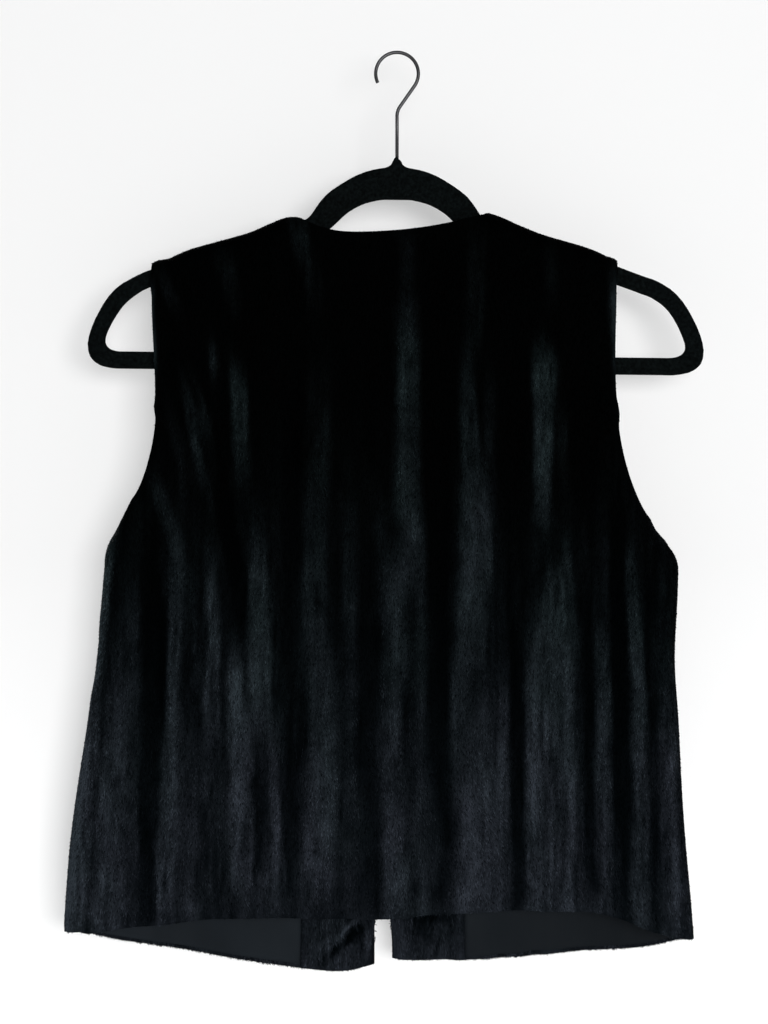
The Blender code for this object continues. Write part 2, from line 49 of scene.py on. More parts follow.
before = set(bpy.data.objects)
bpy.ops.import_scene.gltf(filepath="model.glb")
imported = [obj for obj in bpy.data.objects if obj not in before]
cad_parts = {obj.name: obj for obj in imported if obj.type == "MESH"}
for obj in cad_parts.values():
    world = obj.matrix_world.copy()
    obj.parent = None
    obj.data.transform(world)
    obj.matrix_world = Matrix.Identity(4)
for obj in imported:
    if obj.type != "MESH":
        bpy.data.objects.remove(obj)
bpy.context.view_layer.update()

# ---- tables
# A crease is a soft ridge (rise over 0) or trough along a line down a panel.
Crease = namedtuple("Crease", "x_top z_top x_end z_end spread rise")
# A strip is a stretch of pelt with painted sheen (its last column over 0) or painted shade (under
# 0).
Strip = namedtuple("Strip", "x_top z_top x_end z_end half_top half_end fade gloss")
# How much painted sheen the pile has at a height, before the strips are added.
Level = namedtuple("Level", "z gloss")
# A pull moves the cloth near a line, sideways and up, so that its outline runs as it should.
Pull = namedtuple("Pull", "x_top z_top x_end z_end reach aside up")

# Rows are in millimetres, their heights are drops below the hook's crown, and their painted
# sheen and shade is in hundredths. This divides them into metres, heights over the crown, and
# shares.
DIVISORS = {"z_top": -1000.0, "z_end": -1000.0, "z": -1000.0, "gloss": 100.0}


def table(kind, rows):
    divisors = [DIVISORS.get(field, 1000.0) for field in kind._fields]
    return tuple(kind(*(value / by for value, by in zip(row, divisors))) for row in rows)


BACK_CREASES = table(Crease, (
    (-9, 200, -8, 640, 9, 0.8), (-29, 280, -30, 640, 8, -1.2), (-58, 300, -62, 640, 12, 0.8),
    (-88, 420, -88, 625, 5, -1.4), (-112, 230, -117, 640, 14, 0.8),
    (-141, 400, -143, 610, 5, -1.2), (-165, 350, -166, 628, 5, -1.4),
    (-172, 352, -183, 640, 5, 1), (-187, 370, -192, 640, 5, -1), (23, 380, 22, 622, 7, -0.9),
    (56, 240, 60, 620, 10, 0.8), (77, 260, 78, 610, 7, -1), (103, 340, 98, 500, 10, 0.9),
    (118, 440, 120, 620, 7, 1.2), (104, 500, 104, 600, 6, -0.9), (90, 490, 88, 612, 4, 1),
    (134, 295, 118, 430, 8, -1.2), (118, 228, 113, 310, 6, 1), (156, 238, 136, 330, 6, 1.1),
    (146, 250, 128, 320, 5, -0.9), (170, 255, 156, 310, 5, 0.9), (178, 305, 160, 380, 5, 1),
    (163, 390, 170, 640, 6, 1.2), (137, 350, 138, 470, 5, 1), (180, 355, 189, 640, 9, -1.4),
    (207, 450, 210, 640, 10, 1),
))
FRONT_CREASES = table(Crease, (
    (40, 260, 44, 680, 10, 1), (60, 300, 62, 680, 6, -1.2), (92, 240, 94, 680, 11, 0.9),
    (124, 300, 130, 660, 6, -1.3), (158, 240, 140, 330, 6, 1.1), (172, 262, 154, 340, 5, -0.9),
    (166, 350, 176, 660, 7, 1.1), (196, 390, 204, 650, 6, -1.2), (216, 480, 226, 650, 7, 0.9),
    (-28, 260, -30, 680, 10, 0.9), (-50, 320, -52, 680, 6, -1.2), (-76, 230, -80, 680, 11, 1),
    (-108, 300, -112, 670, 6, -1.3), (-142, 240, -124, 330, 6, 1),
    (-152, 350, -158, 660, 8, 1.1), (-172, 400, -178, 655, 5, -1.2),
    (-194, 460, -200, 650, 7, 0.9),
))
FACING_CREASES = table(Crease, (
    (30, 632, 60, 664, 5, 1.2), (21, 636, 44, 658, 4, -1.2), (40, 300, 46, 620, 8, 0.8),
    (-16, 632, -24, 650, 9, -0.9), (-30, 300, -34, 600, 8, 0.8),
))
LINING_CREASES = table(Crease, (
    (100, 420, 112, 660, 12, 1), (140, 300, 150, 640, 9, -0.9), (176, 350, 190, 640, 10, 1.1),
    (118, 630, 66, 668, 8, -0.7), (-80, 400, -86, 655, 12, 1), (-118, 320, -126, 650, 9, -0.9),
    (-156, 360, -166, 645, 10, 1.1),
))
# Painted sheen (brighter strips) and painted shade (darker strips, some in the creases) on the
# back
BACK_STRIPS = table(Strip, (
    # down the centre
    (-7, 122, -7, 185, 6, 6, 10, 17), (-8, 185, -8, 378, 9, 9.5, 12, 27),
    (-6, 203, -9, 262, 7.5, 8, 20, 26), (-8, 275, -8, 360, 7, 7, 30, 6),
    (3, 378, 2, 640, 8, 8, 10, 28), (-1, 380, 0, 412, 6, 5, 12, 20),
    (1, 405, 0, 530, 2, 2, 16, 14), (2, 540, -1, 640, 8, 8, 14, 10),
    (-17, 330, -19, 520, 5.5, 5.5, 16, 13), (-21, 525, -22, 620, 6.5, 7, 14, 20),
    (-29, 120, -30, 230, 9, 9, 40, -3), (-29, 250, -30, 575, 9, 8, 40, -17),
    (-31, 575, -32, 640, 7, 6, 20, -7),
    # on the wearer's right
    (-42, 470, -40, 530, 6, 6, 20, 8), (-51, 228, -55, 306, 5, 8, 18, 32),
    (-68, 232, -68, 306, 4, 4.5, 16, 17), (-58, 308, -57, 390, 12.5, 12.5, 7, 40),
    (-50, 372, -50, 400, 6, 6, 14, 12), (-54, 390, -53, 445, 10.5, 10.5, 10, 36),
    (-50, 445, -52, 500, 12, 14, 14, 20), (-58, 500, -60, 636, 16, 17, 24, 31),
    (-78, 450, -79, 500, 3, 3, 14, 10), (-84, 240, -89, 425, 8, 9, 30, -6),
    (-87, 425, -88, 620, 4.5, 5, 14, -18), (-108, 222, -107, 250, 11, 9.5, 16, 22),
    (-107, 222, -105, 340, 8, 6, 22, 38), (-114, 368, -112, 450, 4, 16, 14, 38),
    (-111, 452, -112, 640, 18.5, 18.5, 10, 30), (-97, 425, -96, 625, 5, 5, 20, 16),
    (-138, 250, -134, 350, 13, 8, 30, -8), (-139, 395, -141, 612, 4, 5, 14, -16),
    (-148, 405, -150, 640, 5.5, 5.5, 24, 26), (-153, 575, -155, 612, 3, 3, 10, 14),
    (-160, 330, -162, 626, 5.5, 5.5, 14, -24), (-168, 356, -174, 470, 4, 5.5, 14, 26),
    (-175, 470, -177, 640, 6, 5.5, 12, 28), (-183, 370, -187, 640, 5, 5.5, 16, -14),
    (-196, 440, -198, 645, 5, 8.5, 30, 30),
    # on the wearer's left
    (21, 380, 22, 622, 6, 7, 30, -9), (34, 320, 33, 590, 4.5, 4.5, 40, 12),
    (45, 480, 44, 590, 8, 9, 20, 14), (56, 235, 58, 335, 8.5, 8.5, 20, 18),
    (61, 335, 60, 430, 8, 8, 16, 22), (56, 430, 55, 470, 8.5, 8.5, 12, 21),
    (53, 470, 57, 608, 9, 11, 24, 34), (62, 560, 60, 604, 4.5, 4.5, 12, 14),
    (76, 250, 77, 470, 7, 6.5, 30, -6), (75, 470, 75, 612, 6, 6, 20, -12),
    (101, 340, 100, 420, 5, 9, 18, 40), (101, 420, 98, 490, 10, 9, 14, 36),
    (118, 432, 117, 492, 6, 7, 10, 50), (113, 495, 111, 615, 8.5, 8, 12, 46),
    (99, 515, 98, 600, 4, 4, 14, -6), (88, 496, 87, 606, 3.4, 3.2, 18, 34),
    (138, 270, 112, 400, 6, 6.5, 16, -20), (112, 400, 110, 440, 5.5, 5, 12, -14),
    (116, 228, 112, 305, 6.5, 6, 12, 46), (134, 213, 132, 236, 4, 3.5, 10, 27),
    (149, 242, 134, 290, 5, 5, 16, 33), (136, 290, 133, 330, 4, 4, 14, 18),
    (164, 262, 153, 305, 4.5, 4.5, 14, 16), (176, 310, 160, 362, 5, 5, 14, 24),
    (158, 330, 157, 385, 4.5, 5, 12, 14), (160, 362, 160, 400, 5, 5, 10, 22),
    (160, 400, 164, 500, 4.5, 5, 10, 38), (165, 500, 168, 636, 5.5, 6, 10, 36),
    (170, 385, 171, 500, 3.5, 3.5, 14, -16), (135, 365, 134, 500, 4.5, 5.5, 18, 44),
    (137, 500, 139, 600, 5, 6, 20, 10), (150, 380, 153, 610, 7, 8, 20, 9),
    (179, 350, 181, 560, 6, 6, 20, -14), (182, 560, 184, 640, 6, 6, 14, -18),
    (190, 405, 190, 480, 5, 6, 16, 24), (192, 480, 194, 640, 5.5, 6, 20, 18),
    (203, 460, 209, 640, 7, 12, 26, 26), (212, 370, 222, 480, 5, 7, 16, 36),
    (223, 480, 237, 645, 8, 10, 16, 44),
    # at the shoulders and armholes
    (73, 122, 69, 148, 7, 6, 8, 36), (126, 148, 121, 172, 8, 7, 10, 24),
    (118, 172, 117, 195, 4, 4, 10, 14), (172, 158, 160, 190, 4, 4.5, 10, 22),
    (62, 150, 60, 185, 6, 6, 12, 18), (-59, 125, -56, 222, 7, 6.5, 12, 17),
    (-112, 142, -112, 180, 5, 5, 12, 16), (-155, 155, -156, 205, 3, 3, 12, 22),
    # short stretches of painted shade
    (106, 545, 117, 632, 3, 5, 12, -26), (50, 505, 49, 542, 5, 5, 10, -19),
    (-3, 465, -6, 548, 3, 3, 10, -22), (-1, 425, -1, 448, 3, 3, 8, -19),
    (2, 600, 6, 640, 4, 4, 8, -22), (-49, 572, -60, 590, 5, 5, 8, -16),
    (-66, 575, -70, 595, 4, 4, 8, -13), (-120, 515, -118, 600, 5, 5.5, 12, -19),
    (-145, 562, -146, 598, 3, 3, 8, -19), (-178, 498, -178, 548, 3, 3, 10, -19),
    (-194, 575, -195, 630, 4.5, 4.5, 10, -22), (-193, 405, -193, 475, 2.2, 2.2, 10, -16),
    (167, 425, 168, 495, 2.5, 2.5, 10, -19), (133, 465, 133, 508, 2.5, 2.5, 10, -19),
    (-113, 358, -113, 398, 3, 3, 10, -19), (-68, 300, -67, 352, 2.5, 2.5, 10, -16),
    (190, 555, 191, 630, 2.2, 2.2, 10, -13), (99, 335, 98, 378, 3.5, 3.5, 10, -16),
    (44, 350, 42, 430, 3, 3, 12, -11), (-148, 395, -152, 440, 4, 4, 10, -14),
    (-81, 425, -83, 450, 4, 4, 8, -13), (116, 212, 115, 226, 6, 6, 6, -16),
    (152, 235, 140, 275, 3, 3, 8, -16), (110, 262, 110, 280, 3, 3, 8, -16),
    (-13, 350, -14, 372, 3, 3, 8, -16),
    # short stretches of painted sheen
    (-77, 465, -77, 570, 3.5, 3.5, 12, 29), (114, 450, 112, 495, 5, 5, 10, 22),
    (121, 505, 119, 530, 4, 4, 10, 19), (123, 560, 121, 592, 3.5, 3.5, 10, 22),
    (98, 585, 96, 612, 4.5, 4.5, 8, 26), (-122, 362, -130, 430, 3, 3, 10, 26),
    (-172, 415, -176, 470, 4, 4, 10, 19), (-186, 415, -186, 460, 3.5, 3.5, 10, 16),
    (-159, 570, -159, 608, 3.5, 3.5, 10, 26), (-136, 600, -138, 628, 4, 4, 8, 19),
    (153, 250, 143, 305, 3.5, 3.5, 10, 42), (162, 280, 153, 335, 3, 3, 10, 13),
    (-53, 378, -57, 412, 4, 4, 8, 19), (3, 372, -3, 385, 6, 6, 6, 19),
    (-9, 225, -9, 245, 7, 7, 8, 16), (11, 330, 10, 372, 4, 4, 10, 13),
    (-107, 262, -108, 305, 6, 6, 10, 19), (-119, 262, -120, 305, 4, 4, 10, 19),
    (-108, 218, -109, 240, 10, 10, 8, 19), (36, 485, 36, 520, 3, 3, 10, 16),
    (34, 560, 34, 592, 3, 3, 10, 19), (62, 385, 64, 412, 4, 4, 8, 16),
    (120, 225, 116, 255, 5, 5, 8, 19), (132, 218, 132, 236, 4, 4, 6, 16),
    (204, 420, 206, 480, 6, 6, 12, 10), (226, 600, 224, 640, 8, 8, 8, 13),
    (172, 580, 170, 640, 4, 4, 10, 19), (141, 420, 139, 490, 3.5, 3.5, 10, 14),
    (-12, 618, -45, 632, 8, 8, 8, 13), (-97, 400, -98, 420, 5, 5, 8, 16),
    # a second round of short stretches of painted shade and sheen
    (156, 430, 155, 470, 6, 6, 8, -20), (135, 560, 136, 592, 4, 4, 8, -16),
    (-62, 305, -62, 320, 4, 4, 6, -14), (-121, 402, -121, 436, 3, 3, 6, -16),
    (-115, 208, -115, 230, 4, 4, 6, -16), (-13, 200, -16, 236, 3.5, 3.5, 6, -12),
    (133, 342, 133, 375, 3, 3, 8, -14), (140, 378, 140, 408, 3, 3, 8, -12),
    (60, 450, 60, 515, 4, 4, 10, -8), (-8, 292, -8, 318, 5, 5, 8, 14),
    (-106, 400, -106, 424, 5, 5, 8, 16), (-112, 438, -112, 474, 12, 12, 10, 10),
    (-99, 465, -99, 525, 4, 4, 10, 14), (-67, 490, -69, 535, 9, 9, 10, 14),
    (-130, 510, -130, 562, 4, 4, 10, 16), (-163, 505, -163, 540, 3, 3, 10, 10),
    (-187, 495, -187, 545, 3, 3, 10, 14), (-77, 600, -77, 630, 4, 4, 6, 24),
    (-46, 590, -46, 628, 5, 5, 6, 18), (148, 610, 148, 632, 6, 6, 6, 18),
    (208, 512, 208, 545, 6, 6, 8, 18), (67, 592, 67, 622, 4, 4, 8, 14),
    (56, 532, 56, 552, 4, 4, 8, 14), (3, 532, 3, 552, 5, 5, 8, 14),
    (-18, 532, -18, 552, 5, 5, 8, 14),
    # painted sheen along the edges
    (179, 165, 177, 255, 3, 3, 10, 34), (184, 275, 208, 352, 3, 3, 10, 22),
    (212, 365, 243, 640, 4.5, 4.5, 10, 36), (209, 352, 216, 430, 5, 5, 10, 24),
    (-158, 160, -160, 240, 3.6, 3, 12, 34), (-163, 265, -192, 352, 3, 3, 10, 26),
))
# Painted sheen and painted shade on the fronts
FRONT_STRIPS = table(Strip, (
    (28, 200, 30, 670, 8, 9, 30, 26), (48, 260, 50, 670, 6, 6, 30, -10),
    (74, 150, 78, 390, 11, 12, 20, 22), (78, 392, 82, 670, 13, 15, 8, 36),
    (104, 240, 108, 660, 6, 5.5, 30, -13), (126, 160, 130, 330, 8, 8, 20, 16),
    (130, 380, 138, 650, 11, 13, 24, 38), (158, 340, 164, 650, 5.5, 5.5, 20, -16),
    (160, 240, 142, 310, 5, 5, 16, 28), (180, 400, 186, 640, 8, 10, 20, 34),
    (202, 440, 210, 640, 5, 6, 20, -12), (222, 460, 232, 640, 5, 7, 24, 26),
    (-10, 220, -12, 660, 8, 8, 30, 24), (-30, 260, -31, 660, 5.5, 5.5, 30, -11),
    (-58, 150, -60, 430, 12, 12, 20, 24), (-60, 432, -63, 660, 13, 15, 8, 38),
    (-86, 260, -89, 650, 5.5, 5.5, 30, -14), (-112, 180, -114, 330, 9, 9, 20, 16),
    (-114, 360, -119, 650, 11, 13, 20, 36), (-140, 350, -144, 645, 5, 5, 20, -16),
    (-138, 240, -122, 310, 5, 5, 16, 24), (-164, 380, -168, 640, 8, 10, 20, 30),
    (-184, 430, -188, 640, 4.5, 5, 20, -13), (-202, 450, -208, 640, 6, 7, 24, 26),
))
# Painted sheen and painted shade on the facings
FACING_STRIPS = table(Strip, (
    (29, 634, 57, 660, 3, 4, 4, 34), (23, 636, 47, 660, 3.4, 2.8, 4, -64),
    (35, 634, 49, 653, 2.6, 2.2, 3, -52), (50, 654, 63, 657, 3, 3, 3, 10),
    (62, 636, 66, 645, 5, 5, 4, -14), (10, 640, 22, 666, 4, 4, 6, 6),
    (30, 300, 34, 600, 6, 6, 30, 16), (-8, 633, -38, 635, 3, 3, 3, -34),
    (-20, 636, -25, 650, 8, 3, 3, -34), (-3, 632, -6, 650, 3, 3, 4, 8),
    (-22, 300, -24, 600, 6, 6, 30, 16),
))
ARMHOLE_PULLS = table(Pull, (
    (180, 180, 178, 250, 12, -1.3, 0), (179, 268, 190, 319, 12, -2.1, 0),
    (-160, 173, -161, 250, 12, 1.3, 0), (-163, 275, -181, 334, 12, 1.5, 0),
    (-188, 348, -189, 350, 10, 2.2, 0), (-205, 368, -205, 374, 12, -1.2, 0.6),
    (213, 362, 213, 366, 12, 0.9, 0.5), (199, 330, 206, 346, 10, -1, 0),
    (219, 434, 221, 452, 22, -1.3, 0), (179, 157, 177, 156, 14, 0, 4),
    (-160, 153, -158, 152, 7, 0, 1.4),
))
BACK_PULLS = ARMHOLE_PULLS + table(Pull, (
    (246, 645, 232, 643, 10, -1.4, 2.6), (18, 634, -2, 634, 20, 0, -1.1),
    (82, 120, 66, 121, 10, 0, 0.6), (-74, 119, -80, 121, 10, 0, 0.6),
))
HANGER_PULLS = table(Pull, (
    (182, 163, 176, 160, 22, 0, 3.2), (-160, 160, -184, 168, 18, 0, 3.6),
    (-219, 205, -222, 225, 22, -1.5, 0), (-197, 178, -205, 190, 20, -1, 1.3),
    (0, 77.6, 0.4, 77.8, 3, 0, 2.2), (5.5, 78.5, 5.6, 80, 4, -0.8, 0),
    (-5.5, 78.5, -5.6, 80, 4, 0.8, 0),
))
FRONT_PULLS = ARMHOLE_PULLS + table(Pull, (
    (247, 646, 232, 645, 11, -0.8, 2.2), (16.5, 634, 16.5, 640, 12, -1.3, 0),
    (4.5, 650, 4.5, 660, 10, -1.9, 0), (97, 666, 75, 669, 12, 0, -0.6),
    (22, 664, 18, 664, 12, 0, -2.6), (-4, 661, -4, 662, 8, 0, -0.8),
    (-46, 661, -66, 661, 12, 0, -1.8), (-100, 658, -102, 658, 10, 0, 1.2),
))
# Painted sheen by height, lighter towards the hem, before the strips
BACK_PAINTED_SHEEN = table(Level, (
    (660, 46), (600, 40), (550, 35), (500, 31), (450, 26), (400, 22), (350, 17), (300, 11),
    (250, 6), (100, 4),
))
FACING_PAINTED_SHEEN = table(Level, (
    (680, 60), (630, 55), (500, 30), (100, 14),
))

# A scatter of locks: how many, how long and wide, how far they stand up from the skin
# and how far they stray to the side, both as a share of their length.
Pile = namedtuple("Pile", "locks length width stands strays seed")
BACK_UNDERFUR = Pile(62000, 0.0026, 0.0011, 0.50, 0.34, 11)
BACK_GUARD = Pile(64000, 0.0038, 0.0006, 0.36, 0.22, 12)
FRONT_UNDERFUR = Pile(23500, 0.0030, 0.0013, 0.50, 0.34, 21)
FRONT_GUARD = Pile(22500, 0.0042, 0.0007, 0.36, 0.22, 22)
FACING_FUR = Pile(12000, 0.0034, 0.0009, 0.42, 0.26, 31)
HEM_FUR = Pile(5000, 0.0044, 0.0010, 0.30, 0.55, 41)
SHORTEST, LONGEST = 0.65, 1.15  # a lock's length, as a share of its pile's
NARROWEST, WIDEST = 0.7, 1.2  # a lock's width, likewise
ROOT_DEPTH = 0.0003  # how far a lock's foot is set into the skin

# A fur panel: the side of its wall that it starts from, how often it is subdivided, its
# tables, how far its nap leans out of the vest's back, and its piles by their names.
Panel = namedtuple("Panel", "side levels creases strips gloss lean piles")
BACKWARD = Vector((0.0, 1.0, 0.0))
FORWARD = Vector((0.0, -1.0, 0.0))
ROOT_LEVELS = 3  # the sheet that carries the locks is subdivided more finely
BACK_PILES = {"underfur": BACK_UNDERFUR, "guard_hair": BACK_GUARD}
FRONT_PILES = {"underfur": FRONT_UNDERFUR, "guard_hair": FRONT_GUARD}
FACING_PILES = {"fur": FACING_FUR}
BACK = Panel(BACKWARD, 2, BACK_CREASES, BACK_STRIPS, BACK_PAINTED_SHEEN, 0.35, BACK_PILES)
FRONT = Panel(FORWARD, 1, FRONT_CREASES, FRONT_STRIPS, BACK_PAINTED_SHEEN, -0.35, FRONT_PILES)
FACING = Panel(BACKWARD, 2, FACING_CREASES, FACING_STRIPS, FACING_PAINTED_SHEEN, 0.0, FACING_PILES)

CREASE_RUN_IN = 0.030  # a crease fades in over twice this length
STRIP_SOFT = 0.22  # a strip's edge is soft over this share of its half width,
STRIP_SOFT_LEAST = 0.0012  # and over at least this much
STRIP_FEATHER = 0.014  # how unevenly its ends run out
STRIP_SWAY = 0.0011  # how far it strays from its line,
STRIP_SWAY_NOISE = (30.0, 30.0, 22.0)  # and how quickly along x, y and z
# Unevenness of the painted sheen and shade: a shift of its noise, how fine that is along x, y and
# z, its share
UNEVEN = (
    (0.0, (330.0, 60.0, 24.0), 0.42),  # streaks, which also feather the ends of strips
    (7.0, (110.0, 40.0, 8.0), 0.30),  # bands
    (3.0, (70.0, 30.0, 48.0), 0.20),  # patches
)
PAINTED_LIGHT_LEAST, PAINTED_LIGHT_MOST = 0.02, 1.2
SWAYS = ((0.32, (9.0, 5.0, 4.0)), (0.20, (60.0, 20.0, 30.0)))  # the nap's, slow and quick

RIM_SHEARED = 0.007  # how far in from a rim the pile is sheared shorter,
RIM_LENGTH = 0.40  # to this share of its length at the rim
RIM_TURNS = 0.004  # within this distance of a rim the pile turns outwards,
RIM_LEAN = 1.6  # by this share of its way down,
RIM_LEAN_UP = 0.3  # but little upwards, so that it stays lying over the shoulders
HEM_BELOW = -0.600  # every hem hangs below this height
LINING_LOWER = 0.0028  # the lining's visible hem hangs this much below its solid
LINING_EASE = 8.0  # and eases in over this many times as much
TURNED_UP = 0.0065  # how far the fur is turned up inside a front's hem
TURNED_SINK = 0.0004  # how deep its roots lie,
TURNED_LEAN = 0.3  # and how far it leans out of the vest's back

HANGER_VOXEL = 0.0011  # the hanger's body is meshed evenly in this size,
HANGER_ROUNDS = 8  # and smoothed this often
HANGER_SLIMMER = 0.0004  # the flocked body is this much slimmer all round than its solid
# The hook's wire, as the frame's hook runs
Bend = namedtuple("Bend", "radius tip_angle neck_angle shaft_top foot")
HOOK = Bend(0.0156, math.radians(-25.0), math.radians(215.0), -0.0455, -0.0927)
ROUND_STEPS, NECK_STEPS = 60, 16

MERGE = 1e-5
RIM_ANGLE = math.radians(60.0)
QUAD_ANGLE = math.radians(60.0)
BAKE_MAP = "OFBake"
MAP_MARGIN = Vector((0.006, 0.006, 0.006))

PELT_TOP, PELT_FOOT = -0.30, -0.60  # between these heights the fur's dark colour lightens, painted light, and its sheen's tint changes
LINING_PAINTED_SHADOW, LINING_UNSHADOWED = (-0.19, 0.10), (0.08, 1.22)  # x, and how bright it is there; a painted shadow darkens the lining towards the wearer's right
TWILL_TURN = math.radians(35.0)

VIEW_CENTRE = Vector((0.0095, 0.0, -0.335))
WALL_Y = -0.056
WALL_CHANGE = (0.035, 0.24)  # how far below the view's centre the wall turns paler
WALL_GLOW = (0.457, 0.325)  # above and below that
FLOOR_Z = -0.800
FLOOR_GLOW = 0.62
STAGE_SIZE = 6.0
# Each lamp's place, width, height and share of the key's power
LAMPS = {
    "key": ((-0.93, 3.89, -0.14), 2.00, 1.27, 1.0),
    "front_key": ((0.95, -1.60, 0.30), 0.90, 0.90, 0.3),
    "front_fill": ((-1.20, -1.20, -0.10), 1.0, 1.0, 0.1),
}
LAMP_AIM = Vector((0.0, 0.0, -0.38))


# ---- settings
class VestFurSettings(bpy.types.PropertyGroup):
    pile_height: bpy.props.FloatProperty(
        name="Pile Height", default=0.0015, min=0.0, unit="LENGTH",
        description="How far the lying pile stands above the skin",
    )
    skin_thickness: bpy.props.FloatProperty(
        name="Skin Thickness", default=0.0014, min=0.0003, unit="LENGTH",
        description="Thickness of the pelt's skin under the pile",
    )
    dark_colour: bpy.props.FloatVectorProperty(
        name="Dark Colour", subtype="COLOR", size=3, default=(0.0002, 0.0003, 0.0003),
        description="Colour of the pile where the nap takes the light in",
    )
    # The painted sheen's colour: a painted highlight mixed into the pile.
    gloss_colour: bpy.props.FloatVectorProperty(
        name="Gloss Colour", subtype="COLOR", size=3, default=(0.036, 0.048, 0.056),
        description="Colour of the pile where the nap lies towards the light",
    )
    backing_colour: bpy.props.FloatVectorProperty(
        name="Backing Colour", subtype="COLOR", size=3, default=(0.0040, 0.0045, 0.0050),
        description="Colour of the pelt's inner side",
    )


class VestLiningSettings(bpy.types.PropertyGroup):
    thickness: bpy.props.FloatProperty(
        name="Lining Thickness", default=0.0008, min=0.0002, unit="LENGTH",
        description="Thickness of the lining cloth",
    )
    colour: bpy.props.FloatVectorProperty(
        name="Lining Colour", subtype="COLOR", size=3, default=(0.0080, 0.0106, 0.0134),
        description="Colour of the lining cloth",
    )


class VestHangerSettings(bpy.types.PropertyGroup):
    wire_radius: bpy.props.FloatProperty(
        name="Wire Radius", default=0.0013, min=0.0005, unit="LENGTH",
        description="Radius of the hook's wire",
    )
    flock_colour: bpy.props.FloatVectorProperty(
        name="Flock Colour", subtype="COLOR", size=3, default=(0.0016, 0.0025, 0.0026),
        description="Colour of the hanger's flock",
    )
    wire_colour: bpy.props.FloatVectorProperty(
        name="Wire Colour", subtype="COLOR", size=3, default=(0.045, 0.045, 0.047),
        description="Colour of the hook's plated wire",
    )


class VestStageSettings(bpy.types.PropertyGroup):
    distance: bpy.props.FloatProperty(
        name="Camera Distance", default=1.5, unit="LENGTH",
        description="From the hanger to the camera",
    )
    lens: bpy.props.FloatProperty(
        name="Lens", default=72.07, description="Focal length in millimetres"
    )
    key_power: bpy.props.FloatProperty(
        name="Key Power", default=142.0, description="Power of the key light in watts"
    )


# ---- small helpers
def vectors_of(items, field):
    found = np.empty(len(items) * 3, np.float32)
    items.foreach_get(field, found)
    return found.reshape(-1, 3).astype(float)


def points_of(mesh):
    return vectors_of(mesh.vertices, "co")


def normals_of(mesh):
    return vectors_of(mesh.vertex_normals, "vector")


def place_points(mesh, points):
    mesh.vertices.foreach_set("co", points.astype(np.float32).ravel())
    mesh.update()


def store(mesh, name, kind, values):
    """Keeps one value for each point of a mesh under a name."""
    layer = mesh.attributes.new(name, kind, "POINT")
    layer.data.foreach_set("value" if kind == "FLOAT" else "vector", np.ravel(values))


def eased(share):
    share = np.clip(share, 0.0, 1.0)
    return share * share * (3.0 - 2.0 * share)


def noise_at(points, scale, octaves=3):
    """Smooth noise from about -1 to 1 at each point, with its own scale along each axis."""
    places = points * np.array(scale)
    basis = {"noise_basis": "PERLIN_ORIGINAL"}
    return np.array([noise.fractal(Vector(place), 0.6, 2.0, octaves, **basis) for place in places])


def rim_of(mesh):
    """The points on an open sheet's edges, and the way out of the sheet at each of them."""
    bm = bmesh.new()
    bm.from_mesh(mesh)
    rim = [vert for vert in bm.verts if vert.is_boundary]
    places = np.array([vert.co for vert in rim])
    centres = [[face.calc_center_median() for face in vert.link_faces] for vert in rim]
    ways = places - np.array([np.mean(around, axis=0) for around in centres])
    bm.free()
    return places, ways / np.linalg.norm(ways, axis=1)[:, None]


def nearest_of(points, targets):
    """How far the nearest target is from each point, and which one it is."""
    tree = kdtree.KDTree(len(targets))
    for i, target in enumerate(targets):
        tree.insert(target, i)
    tree.balance()
    found = [tree.find(point) for point in points]
    return np.array([hit[2] for hit in found]), np.array([hit[1] for hit in found])


def across_and_past(points, row):
    """Distance across a row's line, how far down it each point is, and how far past its ends."""
    start = np.array((row.x_top, row.z_top))
    run = np.array((row.x_end, row.z_end)) - start
    length = np.hypot(*run)
    way = run / length
    offset = points[:, [0, 2]] - start
    down = offset @ way
    across = np.abs(offset @ np.array((-way[1], way[0])))
    past = np.maximum(-down, down - length)
    return across, np.clip(down / length, 0.0, 1.0), past


def pulled(points, pulls):
    """Points moved by the pulls that are near them."""
    moved = points.copy()
    for pull in pulls:
        across, _, past = across_and_past(points, pull)
        near = 1.0 - eased(np.hypot(across, np.maximum(past, 0.0)) / pull.reach)
        moved += near[:, None] * (pull.aside, 0.0, pull.up)
    return moved


def faded(past, run_out):
    """1 within a line's ends and 0 past them, over a run-out at both sides of an end."""
    return 1.0 - eased((past + run_out) / (2.0 * run_out))


def crease_height(points, creases):
    """How far the creases lift a panel at each point."""
    total = np.zeros(len(points))
    for crease in creases:
        across, _, past = across_and_past(points, crease)
        ends = faded(past, CREASE_RUN_IN)
        total += crease.rise * ends * np.exp(-((across / crease.spread) ** 2))
    return total


def painted_light_of(points, strips, levels):
    """Painted sheen and painted shade on the pile at each point, from 0 to about 1."""
    rows = sorted(levels)
    total = np.interp(points[:, 2], [row.z for row in rows], [row.gloss for row in rows])
    layers = [noise_at(points + shift, fine) for shift, fine, _ in UNEVEN]
    sway = STRIP_SWAY * noise_at(points, STRIP_SWAY_NOISE)
    swayed = points + sway[:, None] * (1.0, 0.0, 0.0)
    for strip in strips:
        across, down, past = across_and_past(swayed, strip)
        half = strip.half_top + (strip.half_end - strip.half_top) * down
        inside = faded(across - half, STRIP_SOFT * half + STRIP_SOFT_LEAST)
        ends = faded(past + STRIP_FEATHER * layers[0], strip.fade + STRIP_FEATHER)
        total += strip.gloss * inside * ends
    total *= sum((share * layer for layer, (_, _, share) in zip(layers, UNEVEN)), 1.0)
    return np.clip(total, PAINTED_LIGHT_LEAST, PAINTED_LIGHT_MOST)


def link(thing):
    bpy.context.scene.collection.objects.link(thing)
    return thing


def add_object(name, data):
    return link(bpy.data.objects.new(name, data))


